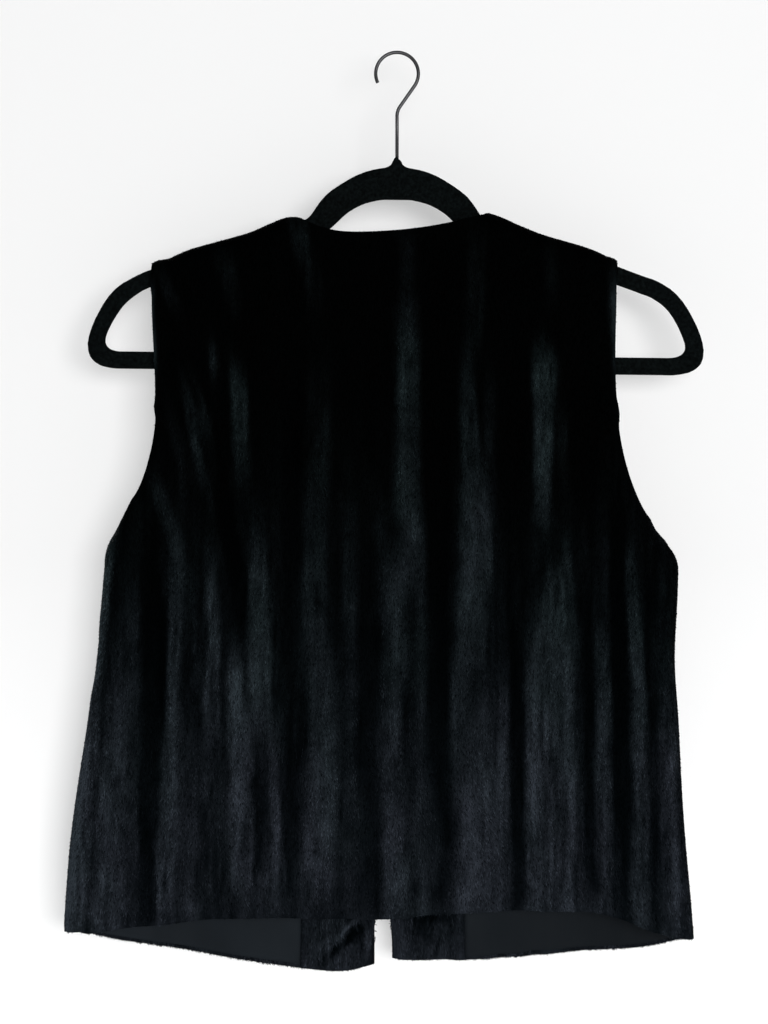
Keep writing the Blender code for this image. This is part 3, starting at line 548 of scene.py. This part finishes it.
def merged(mesh):
    """A bmesh of a mesh, with its doubles merged."""
    bm = bmesh.new()
    bm.from_mesh(mesh)
    bmesh.ops.remove_doubles(bm, verts=bm.verts[:], dist=MERGE)
    return bm


def mesh_of(bm, name):
    """The mesh that a bmesh has become."""
    mesh = bpy.data.meshes.new(name)
    bm.to_mesh(mesh)
    bm.free()
    return mesh


def apply_modifiers(thing):
    """Gives an object the mesh that its modifiers make, and takes them off."""
    graph = bpy.context.evaluated_depsgraph_get()
    shaped = thing.evaluated_get(graph)
    made = bpy.data.meshes.new_from_object(shaped, preserve_all_data_layers=True, depsgraph=graph)
    made.name = thing.name
    thing.modifiers.clear()
    thing.data = made


# ---- nodes
def add_node(tree, kind, inputs=None, out=0, **settings):
    """Adds a node and gives one output. Inputs are values or sockets, by name or number."""
    made = tree.nodes.new(kind)
    for name, value in settings.items():
        setattr(made, name, value)
    for name, value in (inputs or {}).items():
        if isinstance(value, bpy.types.NodeSocket):
            tree.links.new(value, made.inputs[name])
        else:
            made.inputs[name].default_value = value
    return made.outputs[out] if made.outputs else None


def maths(tree, operation, *values):
    return add_node(tree, "ShaderNodeMath", dict(enumerate(values)), operation=operation)


def ranged(tree, value, low, high, start=0.0, end=1.0):
    """A value that runs from low to high as another runs from start to end."""
    inputs = {"Value": value, "From Min": start, "From Max": end, "To Min": low, "To Max": high}
    return add_node(tree, "ShaderNodeMapRange", inputs)


def axis_of(tree, vector, axis):
    return add_node(tree, "ShaderNodeSeparateXYZ", {0: vector}, axis)


def object_place(tree):
    return add_node(tree, "ShaderNodeTexCoord", out="Object")


def object_noise(tree, scale, stretch=(1.0, 1.0, 1.0), detail=3.0):
    """Noise on Object coordinates, stretched by its own scale along each axis."""
    inputs = {"Vector": object_place(tree), "Scale": stretch}
    place = add_node(tree, "ShaderNodeMapping", inputs)
    inputs = {"Vector": place, "Scale": scale, "Detail": detail}
    return add_node(tree, "ShaderNodeTexNoise", inputs, "Fac")


def attribute(tree, name):
    settings = {"attribute_name": name, "attribute_type": "GEOMETRY"}
    return add_node(tree, "ShaderNodeAttribute", out="Fac", **settings)


def mixed_colour(tree, share, dark, light):
    ends = [end if isinstance(end, bpy.types.NodeSocket) else (*end, 1.0) for end in (dark, light)]
    inputs = {"Factor": share, 6: ends[0], 7: ends[1]}
    return add_node(tree, "ShaderNodeMix", inputs, 2, data_type="RGBA")


def shaded(tree, share, colour, dark, light):
    """A colour that runs from a darker to a lighter share of itself."""
    base = np.array(colour)
    return mixed_colour(tree, share, tuple(base * dark), tuple(base * light))


def new_material(name, **principled):
    """A Principled material, its node tree and its shader."""
    made = bpy.data.materials.new(name)
    made.use_nodes = True
    shader = made.node_tree.nodes["Principled BSDF"]
    for socket, value in principled.items():
        shader.inputs[socket.replace("_", " ")].default_value = value
    return made, made.node_tree, shader


def surface(tree, shader, colour, rough, height=None, strength=0.0, distance=0.0):
    """Links a shader's colour and roughness, and its bump where it has one."""
    tree.links.new(colour, shader.inputs["Base Color"])
    tree.links.new(rough, shader.inputs["Roughness"])
    if height is not None:
        inputs = {"Height": height, "Strength": strength, "Distance": distance}
        tree.links.new(add_node(tree, "ShaderNodeBump", inputs), shader.inputs["Normal"])


# ---- materials
def down_the_pelt(tree, high, low):
    """A value that goes from high at the armholes to low at the hem."""
    height = axis_of(tree, object_place(tree), "Z")
    return ranged(tree, height, high, low, PELT_TOP, PELT_FOOT)


def fur_colour(tree, settings, share):
    """Black above, and a lighter deep teal near the hem where it is dark, painted light; and the
    painted sheen by share.
    """
    dark = shaded(tree, down_the_pelt(tree, 0.0, 1.0), settings.dark_colour, 1.0, (1.1, 2.6, 3.6))
    return mixed_colour(tree, share, dark, painted_sheen_tint(tree, settings))


def painted_sheen_tint(tree, settings):
    """The colour of the painted sheen, teal at the shoulders and slate at the hem, unevenly."""
    drift = object_noise(tree, 22.0, (1.0, 1.0, 0.5), 4.0)
    slate = maths(tree, "ADD", ranged(tree, drift, -0.1, 1.2), down_the_pelt(tree, -0.25, 0.40))
    return shaded(tree, slate, settings.gloss_colour, (0.88, 1.10, 0.98), (1.10, 0.97, 1.08))


def pile_material(settings):
    """Black sheared fur: dark at the root, and at the tip as bright as its painted sheen says."""
    made, tree, shader = new_material("sheared_fur_locks", Specular_IOR_Level=0.003)
    tip = ranged(tree, attribute(tree, "tip"), 0.35, 1.25)
    shade = maths(tree, "POWER", attribute(tree, "shade"), 1.6)
    share = maths(tree, "MULTIPLY", tip, ranged(tree, shade, 0.25, 2.3))
    share = maths(tree, "MULTIPLY", share, maths(tree, "POWER", attribute(tree, "gloss"), 2.0))
    grain = object_noise(tree, 60.0, (1.0, 1.0, 0.3))
    surface(tree, shader, fur_colour(tree, settings, share), ranged(tree, grain, 0.62, 0.38))
    return made


def skin_material(settings):
    """What shows between the locks: the same strips of painted sheen and shade, darker and finely
    combed.
    """
    made, tree, shader = new_material("sheared_fur_skin", Specular_IOR_Level=0.003)
    combed = object_noise(tree, 900.0, (1.0, 1.0, 0.22), 4.0)
    bright = maths(tree, "POWER", attribute(tree, "gloss"), 2.0)
    share = maths(tree, "MULTIPLY", bright, ranged(tree, combed, 0.1, 0.9))
    colour = fur_colour(tree, settings, share)
    surface(tree, shader, colour, ranged(tree, combed, 0.75, 0.50), combed, 0.7, 0.0008)
    return made


def backing_material(settings):
    """The pelt's inner side, a dark, finely napped skin."""
    made, tree, shader = new_material("pelt_backing", Specular_IOR_Level=0.05)
    nap = object_noise(tree, 700.0, detail=5.0)
    patches = ranged(tree, object_noise(tree, 30.0), 0.6, 1.2)
    share = maths(tree, "MULTIPLY", nap, patches)
    colour = shaded(tree, share, settings.backing_colour, 0.5, 1.6)
    surface(tree, shader, colour, ranged(tree, nap, 0.95, 0.70), nap, 0.5, 0.0005)
    return made


def lining_material(settings):
    """A matte slate cloth with a fine twill, and a painted shadow that darkens it towards the
    wearer's right.
    """
    made, tree, shader = new_material("slate_lining", Specular_IOR_Level=0.05)
    inputs = {"Vector": object_place(tree), "Rotation": (0.0, TWILL_TURN, 0.0)}
    turned = add_node(tree, "ShaderNodeMapping", inputs)
    threads = []
    for way, scale in (("X", 260.0), ("Z", 420.0)):
        inputs = {"Vector": turned, "Scale": scale, "Distortion": 0.6, "Detail": 1.0}
        threads.append(add_node(tree, "ShaderNodeTexWave", inputs, "Fac", bands_direction=way))
    weave = maths(tree, "MULTIPLY", *threads)
    slubs = object_noise(tree, 120.0, (1.0, 1.0, 0.2))
    cloud = maths(tree, "MULTIPLY", object_noise(tree, 18.0), 0.5)
    share = maths(tree, "ADD", maths(tree, "MULTIPLY", weave, 0.35), cloud)
    # painted shadow: the lining darkens towards the wearer's right
    across = axis_of(tree, object_place(tree), "X")
    (start, dim), (end, bright) = LINING_PAINTED_SHADOW, LINING_UNSHADOWED
    share = maths(tree, "MULTIPLY", share, ranged(tree, across, dim, bright, start, end))
    colour = shaded(tree, share, settings.colour, 0.50, 1.62)
    height = maths(tree, "ADD", weave, maths(tree, "MULTIPLY", slubs, 0.5))
    surface(tree, shader, colour, ranged(tree, slubs, 0.85, 0.62), height, 0.35, 0.0002)
    return made


def flock_material(settings):
    """Black velvet flock over moulded plastic."""
    made, tree, shader = new_material("black_flock", Specular_IOR_Level=0.03)
    fibres = object_noise(tree, 480.0, detail=6.0)
    worn = ranged(tree, object_noise(tree, 40.0), 0.7, 1.3)
    share = maths(tree, "MULTIPLY", maths(tree, "POWER", fibres, 2.0), worn)
    colour = shaded(tree, share, settings.flock_colour, 0.1, 3.2)
    surface(tree, shader, colour, ranged(tree, fibres, 1.0, 0.85), fibres, 0.8, 0.0004)
    return made


def wire_material(settings):
    """Polished dark plating, slightly uneven along the wire."""
    made, tree, shader = new_material("plated_wire", Metallic=1.0)
    wear = object_noise(tree, 300.0, (1.0, 1.0, 0.15), 4.0)
    colour = shaded(tree, wear, settings.wire_colour, 0.8, 1.2)
    surface(tree, shader, colour, ranged(tree, wear, 0.22, 0.42), wear, 0.15, 0.0001)
    return made


def shared_material(name, maker, settings):
    return bpy.data.materials.get(name) or maker(settings)


def locks_material(settings):
    return shared_material("sheared_fur_locks", pile_material, settings)


# ---- cloth
def patches_between(faces, borders):
    """Groups of faces that join without crossing a border edge."""
    patches, met = [], set()
    for start in faces:
        if start in met:
            continue
        patch, waiting = [], [start]
        met.add(start)
        while waiting:
            face = waiting.pop()
            patch.append(face)
            crossed = (edge for edge in face.edges if edge not in borders)
            for other in (other for edge in crossed for other in edge.link_faces):
                if other not in met:
                    met.add(other)
                    waiting.append(other)
        patches.append(patch)
    return patches


def side_of_wall(node, towards):
    """One side of a CAD wall, as an open sheet of quads."""
    bm = merged(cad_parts[node].data)
    rims = {edge for edge in bm.edges if edge.calc_face_angle(0.0) > RIM_ANGLE}
    patches = patches_between(bm.faces, rims)
    patches.sort(key=lambda patch: -sum(face.calc_area() for face in patch))
    side = max(
        patches[:2],
        key=lambda patch: sum(face.calc_area() * face.normal.dot(towards) for face in patch),
    )
    kept = set(side)
    others = [face for face in bm.faces if face not in kept]
    bmesh.ops.delete(bm, geom=others, context="FACES")
    angles = {"angle_face_threshold": QUAD_ANGLE, "angle_shape_threshold": math.pi}
    bmesh.ops.join_triangles(bm, faces=bm.faces[:], **angles)
    mesh = mesh_of(bm, node + "_side")
    if "custom_normal" in mesh.attributes:
        mesh.attributes.remove(mesh.attributes["custom_normal"])
    mesh.shade_smooth()
    return mesh


def smooth_sheet(name, node, towards, levels, creases, sink):
    """A side of a wall, subdivided, creased, moved in by sink, and pulled."""
    thing = add_object(name, side_of_wall(node, towards))
    rounds = thing.modifiers.new("rounds", "SUBSURF")
    rounds.levels = rounds.render_levels = levels
    rounds.boundary_smooth = "PRESERVE_CORNERS"
    apply_modifiers(thing)
    points, normals = points_of(thing.data), normals_of(thing.data)
    raised = normals * crease_height(points, creases)[:, None]
    sunk = normals * (0.0, sink, 0.0)  # in depth only, which keeps the outline
    pulls = BACK_PULLS if node == "back" else FRONT_PULLS
    place_points(thing.data, pulled(points + raised - sunk, pulls))
    return thing


def nap_of(points, lean):
    """Which way the pile lies: down, and out by its lean, with a slow sideways sway."""
    sway = sum(share * noise_at(points, fine, 2) for share, fine in SWAYS)
    return np.stack([sway, np.full(len(points), lean), np.full(len(points), -1.0)], axis=1)


def paint_nap(thing, strips, levels, lean):
    """Stores how the nap lies, its painted sheen and shade, and how short the pile is sheared near
    the rim.
    """
    points = points_of(thing.data)
    store(thing.data, "gloss", "FLOAT", painted_light_of(points, strips, levels))
    places, ways = rim_of(thing.data)
    gap, nearest = nearest_of(points, places)
    ways[:, 2] = np.minimum(ways[:, 2], RIM_LEAN_UP)
    leans = RIM_LEAN * (1.0 - eased(gap / RIM_TURNS))
    store(thing.data, "nap", "FLOAT_VECTOR", nap_of(points, lean) + leans[:, None] * ways[nearest])
    sheared = RIM_LENGTH + (1.0 - RIM_LENGTH) * eased(gap / RIM_SHEARED)
    store(thing.data, "sheared", "FLOAT", sheared)


def give_thickness(thing, thickness, materials):
    """Closes a sheet into a thin shell whose inner side has the last material."""
    for material in materials:
        thing.data.materials.append(material)
    shell = thing.modifiers.new("thickness", "SOLIDIFY")
    shell.thickness = thickness
    shell.offset = -1.0
    shell.material_offset = len(materials) - 1
    apply_modifiers(thing)
    thing.data.shade_smooth()


def locks_tree(name, pile, area, material, low, high):
    """Geometry Nodes that scatter 3-sided locks over a sheet and make them real."""
    tree = bpy.data.node_groups.new(name, "GeometryNodeTree")
    for socket, way in (("Sheet", "INPUT"), ("Fur", "OUTPUT")):
        tree.interface.new_socket(name=socket, in_out=way, socket_type="NodeSocketGeometry")

    def node(kind, inputs=None, out=0, **settings):
        return add_node(tree, kind, inputs, out, **settings)

    def vectors(operation, first, second, out=0):
        inputs = {0: first, "Scale" if operation == "SCALE" else 1: second}
        return node("ShaderNodeVectorMath", inputs, out, operation=operation)

    def random(least, most, seed):
        seed += pile.seed
        if isinstance(least, tuple):
            inputs = {0: least, 1: most, "Seed": seed}
            return node("FunctionNodeRandomValue", inputs, data_type="FLOAT_VECTOR")
        return node("FunctionNodeRandomValue", {2: least, 3: most, "Seed": seed}, 1)

    def named(label, kind):
        return node("GeometryNodeInputNamedAttribute", {"Name": label}, data_type=kind)

    def stored(geometry, label, value, **settings):
        inputs = {"Geometry": geometry, "Name": label, "Value": value}
        return node("GeometryNodeStoreNamedAttribute", inputs, **settings)

    inputs = {"Mesh": node("NodeGroupInput"), "Density": pile.locks / area, "Seed": pile.seed}
    roots = node("GeometryNodeDistributePointsOnFaces", inputs, "Points")
    normal = roots.node.outputs["Normal"]

    nap = named("nap", "FLOAT_VECTOR")
    into = vectors("DOT_PRODUCT", nap, normal, "Value")
    flat = vectors("SUBTRACT", nap, vectors("SCALE", normal, into))
    lying = node("ShaderNodeVectorMath", {0: flat}, operation="NORMALIZE")
    way = vectors("ADD", lying, vectors("SCALE", normal, pile.stands))
    way = vectors("ADD", way, random((-pile.strays,) * 3, (pile.strays,) * 3, 100))
    aligned = node("FunctionNodeAlignRotationToVector", {"Vector": way}, axis="Z")
    inputs = {"Axis": (0.0, 0.0, 1.0), "Angle": random(0.0, math.tau, 200)}
    inputs = {"Rotation": aligned, "Rotate By": node("FunctionNodeAxisAngleToRotation", inputs)}
    turned = node("FunctionNodeRotateRotation", inputs, rotation_space="LOCAL")
    width = random(NARROWEST * pile.width, WIDEST * pile.width, 300)
    length = random(SHORTEST * pile.length, LONGEST * pile.length, 400)
    length = maths(tree, "MULTIPLY", length, named("sheared", "FLOAT"))
    size = node("ShaderNodeCombineXYZ", {"X": width, "Y": width, "Z": length})

    inputs = {"Vertices": 3, "Radius Top": 0.0, "Radius Bottom": 0.5, "Depth": 1.0}
    lock = node("GeometryNodeMeshCone", inputs, "Mesh", fill_type="NONE")
    lock = stored(lock, "tip", axis_of(tree, node("GeometryNodeInputPosition"), "Z"))
    points = stored(roots, "shade", random(0.0, 1.0, 500))
    inputs = {"Geometry": points, "Offset": vectors("SCALE", normal, -ROOT_DEPTH)}
    points = node("GeometryNodeSetPosition", inputs)
    inputs = {"Points": points, "Instance": lock, "Rotation": turned, "Scale": size}
    locks = node("GeometryNodeInstanceOnPoints", inputs)
    real = node("GeometryNodeRealizeInstances", {"Geometry": locks})

    spot = node("GeometryNodeInputPosition")
    across = ranged(tree, axis_of(tree, spot, "X"), 0.0, 1.0, low.x, high.x)
    height = ranged(tree, axis_of(tree, spot, "Z"), 0.0, 1.0, low.z, high.z)
    flat_map = node("ShaderNodeCombineXYZ", {"X": across, "Y": height})
    mapped = stored(real, BAKE_MAP, flat_map, data_type="FLOAT2", domain="CORNER")
    painted = node("GeometryNodeSetMaterial", {"Geometry": mapped, "Material": material})
    node("NodeGroupOutput", {0: painted})
    return tree


def add_locks(name, sheet, pile, material):
    """A piece of real locks over a sheet."""
    thing = add_object(name, sheet.data.copy())
    thing.data.materials.clear()
    area = sum(face.area for face in thing.data.polygons)
    corners = [Vector(corner) for corner in sheet.bound_box]
    low = Vector(map(min, *corners)) - MAP_MARGIN
    high = Vector(map(max, *corners)) + MAP_MARGIN
    scatter = thing.modifiers.new("locks", "NODES")
    scatter.node_group = locks_tree(name, pile, area, material, low, high)
    apply_modifiers(thing)
    return thing


def from_hem(mesh):
    """How far each point of a sheet is from its hem."""
    places, _ = rim_of(mesh)
    return nearest_of(points_of(mesh), places[places[:, 2] < HEM_BELOW])[0]


def lower_hem(mesh, by):
    """Draws a sheet's hem down, easing into the cloth above it."""
    points = points_of(mesh)
    points[:, 2] -= by * (1.0 - eased(from_hem(mesh) / (LINING_EASE * by)))
    place_points(mesh, points)


def place(thing, slot, *replaced):
    """Puts a finished piece into the frame."""
    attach(thing, "root")
    if replaced:
        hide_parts(*replaced)


def fur_panel(context, node, panel):
    """A pelt panel: its skin as a thin shell, and the piles of locks over it."""
    settings = context.scene.vest_fur
    locks = locks_material(settings)
    skin = shared_material("sheared_fur_skin", skin_material, settings)
    backing = shared_material("pelt_backing", backing_material, settings)

    def napped(name, levels):
        sheet = smooth_sheet(
            node + name, node, panel.side, levels, panel.creases, settings.pile_height
        )
        paint_nap(sheet, panel.strips, panel.gloss, panel.lean)
        return sheet

    sheet = napped("_skin", panel.levels)
    fine = napped("_roots", ROOT_LEVELS)
    fur = [add_locks(f"{node}_{name}", fine, pile, locks) for name, pile in panel.piles.items()]
    bpy.data.objects.remove(fine, do_unlink=True)
    give_thickness(sheet, settings.skin_thickness, (skin, backing if node == "back" else skin))
    place(sheet, "fur", node)
    for piece in fur:
        place(piece, "fur")
    return sheet


def turned_hem(context, node):
    """The fur that is turned up inside a front's hem, below the lining."""
    inside = smooth_sheet(node + "_inside", node, BACKWARD, ROOT_LEVELS, (), TURNED_SINK)
    below = from_hem(inside.data) < TURNED_UP
    bm = bmesh.new()
    bm.from_mesh(inside.data)
    above = [vert for vert, kept in zip(bm.verts, below) if not kept]
    bmesh.ops.delete(bm, geom=above, context="VERTS")
    bm.to_mesh(inside.data)
    bm.free()
    paint_nap(inside, (), FACING_PAINTED_SHEEN, TURNED_LEAN)
    locks = locks_material(context.scene.vest_fur)
    fur = add_locks(node + "_turned_hem", inside, HEM_FUR, locks)
    bpy.data.objects.remove(inside, do_unlink=True)
    place(fur, "fur")


# ---- hanger
def hook_path(wire_radius):
    """The wire's centre line, from its tip over the crown and down into the hanger."""
    centre = Vector((0.0, 0.0, wire_radius - HOOK.radius))
    path = []
    for i in range(ROUND_STEPS + 1):
        angle = HOOK.tip_angle + (HOOK.neck_angle - HOOK.tip_angle) * i / ROUND_STEPS
        path.append(centre + HOOK.radius * Vector((math.cos(angle), 0.0, math.sin(angle))))
    heading = Vector((-math.sin(HOOK.neck_angle), 0.0, math.cos(HOOK.neck_angle)))
    corner = path[-1] - heading * (path[-1].x / heading.x)
    shaft_top = Vector((0.0, 0.0, HOOK.shaft_top))
    start = corner - heading * (corner.z - HOOK.shaft_top)
    for i in range(NECK_STEPS + 1):
        t = i / NECK_STEPS
        path.append(start.lerp(corner, t).lerp(corner.lerp(shaft_top, t), t))
    path.append(Vector((0.0, 0.0, HOOK.foot)))
    return path


def wire_mesh(path, radius):
    """A round wire with closed ends along a path."""
    curve = bpy.data.curves.new("hook_wire", "CURVE")
    curve.dimensions = "3D"
    curve.bevel_depth = radius
    curve.bevel_resolution = 6
    curve.use_fill_caps = True
    spline = curve.splines.new("POLY")
    spline.points.add(len(path) - 1)
    for target, point in zip(spline.points, path):
        target.co = (*point, 1.0)
    spline.use_smooth = True
    line = add_object("hook_wire_line", curve)
    graph = bpy.context.evaluated_depsgraph_get()
    mesh = bpy.data.meshes.new_from_object(line.evaluated_get(graph))
    bpy.data.objects.remove(line, do_unlink=True)
    bm = merged(mesh)
    bmesh.ops.recalc_face_normals(bm, faces=bm.faces[:])
    return mesh_of(bm, "hook_wire")


# ---- operators
class VEST_OT_stage(bpy.types.Operator):
    """Set up the floor, backdrop, lights and camera"""

    bl_idname = "mesh.vest_stage"
    bl_label = "Stage"
    bl_options = {"REGISTER", "UNDO"}

    def execute(self, context):
        make_stage(context.scene)
        return {"FINISHED"}


class VEST_OT_hanger(bpy.types.Operator):
    """Flock the hanger's body"""

    bl_idname = "mesh.vest_hanger"
    bl_label = "Hanger"
    bl_options = {"REGISTER", "UNDO"}

    def execute(self, context):
        mesh = mesh_of(merged(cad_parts["hanger_body"].data), "flocked_hanger")
        body = add_object("flocked_hanger", mesh)
        even = body.modifiers.new("even", "REMESH")
        even.mode = "VOXEL"
        even.voxel_size = HANGER_VOXEL
        rounds = body.modifiers.new("rounds", "SMOOTH")
        rounds.factor = 0.5
        rounds.iterations = HANGER_ROUNDS
        apply_modifiers(body)
        points, normals = points_of(body.data), normals_of(body.data)
        slimmed = points - HANGER_SLIMMER * normals * (1.0, 0.0, 1.0)
        place_points(body.data, pulled(slimmed, HANGER_PULLS))
        flock = shared_material("black_flock", flock_material, context.scene.vest_hanger)
        body.data.materials.clear()
        body.data.materials.append(flock)
        body.data.shade_smooth()
        place(body, "flock", "hanger_body")
        return {"FINISHED"}


class VEST_OT_hook(bpy.types.Operator):
    """Add the hook's wire"""

    bl_idname = "mesh.vest_hook"
    bl_label = "Hook"
    bl_options = {"REGISTER", "UNDO"}

    def execute(self, context):
        settings = context.scene.vest_hanger
        mesh = wire_mesh(hook_path(settings.wire_radius), settings.wire_radius)
        mesh.materials.append(shared_material("plated_wire", wire_material, settings))
        place(add_object("hook_wire", mesh), "wire", "hanger_hook")
        return {"FINISHED"}


class VEST_OT_linings(bpy.types.Operator):
    """Add the linings of the fronts"""

    bl_idname = "mesh.vest_linings"
    bl_label = "Linings"
    bl_options = {"REGISTER", "UNDO"}

    def execute(self, context):
        settings = context.scene.vest_lining
        cloth = shared_material("slate_lining", lining_material, settings)
        for side in ("left", "right"):
            node = "lining_" + side
            sheet = smooth_sheet(node + "_cloth", node, BACKWARD, 2, LINING_CREASES, 0.0)
            lower_hem(sheet.data, LINING_LOWER)
            give_thickness(sheet, settings.thickness, (cloth,))
            place(sheet, "lining", node)
        return {"FINISHED"}


class VEST_OT_facings(bpy.types.Operator):
    """Add the fur facings inside the front edges"""

    bl_idname = "mesh.vest_facings"
    bl_label = "Facings"
    bl_options = {"REGISTER", "UNDO"}

    def execute(self, context):
        for side in ("left", "right"):
            sheet = fur_panel(context, "facing_" + side, FACING)
        return {"FINISHED"}


class VEST_OT_fronts(bpy.types.Operator):
    """Add both fronts with their pile"""

    bl_idname = "mesh.vest_fronts"
    bl_label = "Fronts"
    bl_options = {"REGISTER", "UNDO"}

    def execute(self, context):
        for side in ("left", "right"):
            sheet = fur_panel(context, "front_" + side, FRONT)
            turned_hem(context, "front_" + side)
        return {"FINISHED"}


class VEST_OT_back(bpy.types.Operator):
    """Add the back panel with its pile"""

    bl_idname = "mesh.vest_back"
    bl_label = "Back"
    bl_options = {"REGISTER", "UNDO"}

    def execute(self, context):
        sheet = fur_panel(context, "back", BACK)
        return {"FINISHED"}


# ---- stage
def stage_plane(name, material):
    bm = bmesh.new()
    bmesh.ops.create_grid(bm, x_segments=1, y_segments=1, size=STAGE_SIZE / 2)
    thing = add_object(name, mesh_of(bm, name))
    thing.data.materials.append(material)
    return thing


def cleared_tree(owner):
    """The empty node tree of a material or a world."""
    owner.use_nodes = True
    owner.node_tree.nodes.clear()
    return owner.node_tree


def glowing(tree, colour, strength):
    """A diffuse surface, lit from inside a little, so that shadows on it stay light."""
    paint = add_node(tree, "ShaderNodeBsdfDiffuse", {"Color": colour})
    glow = add_node(tree, "ShaderNodeEmission", {"Color": (1.0,) * 4, "Strength": strength})
    return add_node(tree, "ShaderNodeAddShader", {0: paint, 1: glow})


def floor_material():
    """Lit from inside like the wall, so that it looks even from every side."""
    made = bpy.data.materials.new("pale_floor")
    tree = cleared_tree(made)
    colour = mixed_colour(tree, object_noise(tree, 40.0), (0.33,) * 3, (0.35,) * 3)
    add_node(tree, "ShaderNodeOutputMaterial", {"Surface": glowing(tree, colour, FLOOR_GLOW)})
    return made


def wall_material():
    """Paler towards the floor, and clear from behind, for views of the vest's fronts."""
    made = bpy.data.materials.new("pale_wall")
    tree = cleared_tree(made)
    lower = ranged(tree, axis_of(tree, object_place(tree), "Y"), 0.0, 1.0, *WALL_CHANGE)
    colour = mixed_colour(tree, lower, (0.42,) * 3, (0.62,) * 3)
    front = glowing(tree, colour, ranged(tree, lower, *WALL_GLOW))
    behind = add_node(tree, "ShaderNodeNewGeometry", out="Backfacing")
    inputs = {"Fac": behind, 1: front, 2: add_node(tree, "ShaderNodeBsdfTransparent")}
    sides = add_node(tree, "ShaderNodeMixShader", inputs)
    add_node(tree, "ShaderNodeOutputMaterial", {"Surface": sides})
    return made


def studio_world():
    """Pale where it is seen, dim where it lights, so that the studio's lamps do the work."""
    world = bpy.data.worlds.new("studio")
    tree = cleared_tree(world)
    inputs = {"Color": (0.93, 0.93, 0.93, 1.0), "Strength": 1.0}
    seen = add_node(tree, "ShaderNodeBackground", inputs)
    inputs = {"Color": (0.9, 0.95, 1.0, 1.0), "Strength": 0.10}
    lights = add_node(tree, "ShaderNodeBackground", inputs)
    direct = add_node(tree, "ShaderNodeLightPath", out="Is Camera Ray")
    mixed = add_node(tree, "ShaderNodeMixShader", {"Fac": direct, 1: lights, 2: seen})
    add_node(tree, "ShaderNodeOutputWorld", {"Surface": mixed})
    return world


def make_stage(scene):
    settings = scene.vest_stage
    scene.view_settings.view_transform = "Standard"
    scene.world = studio_world()

    floor = stage_plane("stage_floor", floor_material())
    floor.location.z = FLOOR_Z
    wall = stage_plane("stage_wall", wall_material())
    wall.rotation_euler = (math.radians(-90.0), 0.0, 0.0)
    wall.location = (0.0, WALL_Y, VIEW_CENTRE.z)
    wall.visible_shadow = False

    for name, (spot, width, height, share) in LAMPS.items():
        lamp = bpy.data.lights.new(name, "AREA")
        lamp.shape = "RECTANGLE"
        lamp.size, lamp.size_y = width, height
        lamp.energy = share * settings.key_power
        thing = add_object(name, lamp)
        thing.location = spot
        thing.rotation_euler = (LAMP_AIM - Vector(spot)).to_track_quat("-Z", "Y").to_euler()

    lens = bpy.data.cameras.new("camera")
    lens.lens = settings.lens
    lens.sensor_width = 36.0
    camera = add_object("camera", lens)
    camera.location = VIEW_CENTRE + Vector((0.0, settings.distance, 0.0))
    camera.rotation_euler = (math.radians(90.0), 0.0, math.radians(180.0))
    scene.camera = camera


# ---- add-on
class VEST_PT_panel(bpy.types.Panel):
    """Lists the pieces of the vest"""

    bl_label = "Fur Vest"
    bl_idname = "VEST_PT_panel"
    bl_space_type = "VIEW_3D"
    bl_region_type = "UI"
    bl_category = "Fur Vest"

    def draw(self, context):
        column = self.layout.column(align=True)
        for operator in OPERATORS:
            column.operator(operator.bl_idname)
        for name, settings in SETTINGS:
            box = self.layout.box()
            for field in settings.__annotations__:
                box.prop(getattr(context.scene, name), field)


SETTINGS = (
    ("vest_fur", VestFurSettings),
    ("vest_lining", VestLiningSettings),
    ("vest_hanger", VestHangerSettings),
    ("vest_stage", VestStageSettings),
)
OPERATORS = (
    VEST_OT_stage,
    VEST_OT_hanger,
    VEST_OT_hook,
    VEST_OT_linings,
    VEST_OT_facings,
    VEST_OT_fronts,
    VEST_OT_back,
)


def register():
    for name, settings in SETTINGS:
        bpy.utils.register_class(settings)
        setattr(bpy.types.Scene, name, bpy.props.PointerProperty(type=settings))
    for operator in OPERATORS:
        bpy.utils.register_class(operator)
    bpy.utils.register_class(VEST_PT_panel)


def unregister():
    bpy.utils.unregister_class(VEST_PT_panel)
    for operator in reversed(OPERATORS):
        bpy.utils.unregister_class(operator)
    for name, settings in reversed(SETTINGS):
        delattr(bpy.types.Scene, name)
        bpy.utils.unregister_class(settings)


def main():
    register()
    bpy.ops.mesh.vest_stage()
    bpy.ops.mesh.vest_hanger()
    bpy.ops.mesh.vest_hook()
    bpy.ops.mesh.vest_linings()
    bpy.ops.mesh.vest_facings()
    bpy.ops.mesh.vest_fronts()
    bpy.ops.mesh.vest_back()


if __name__ == "__main__":
    main()
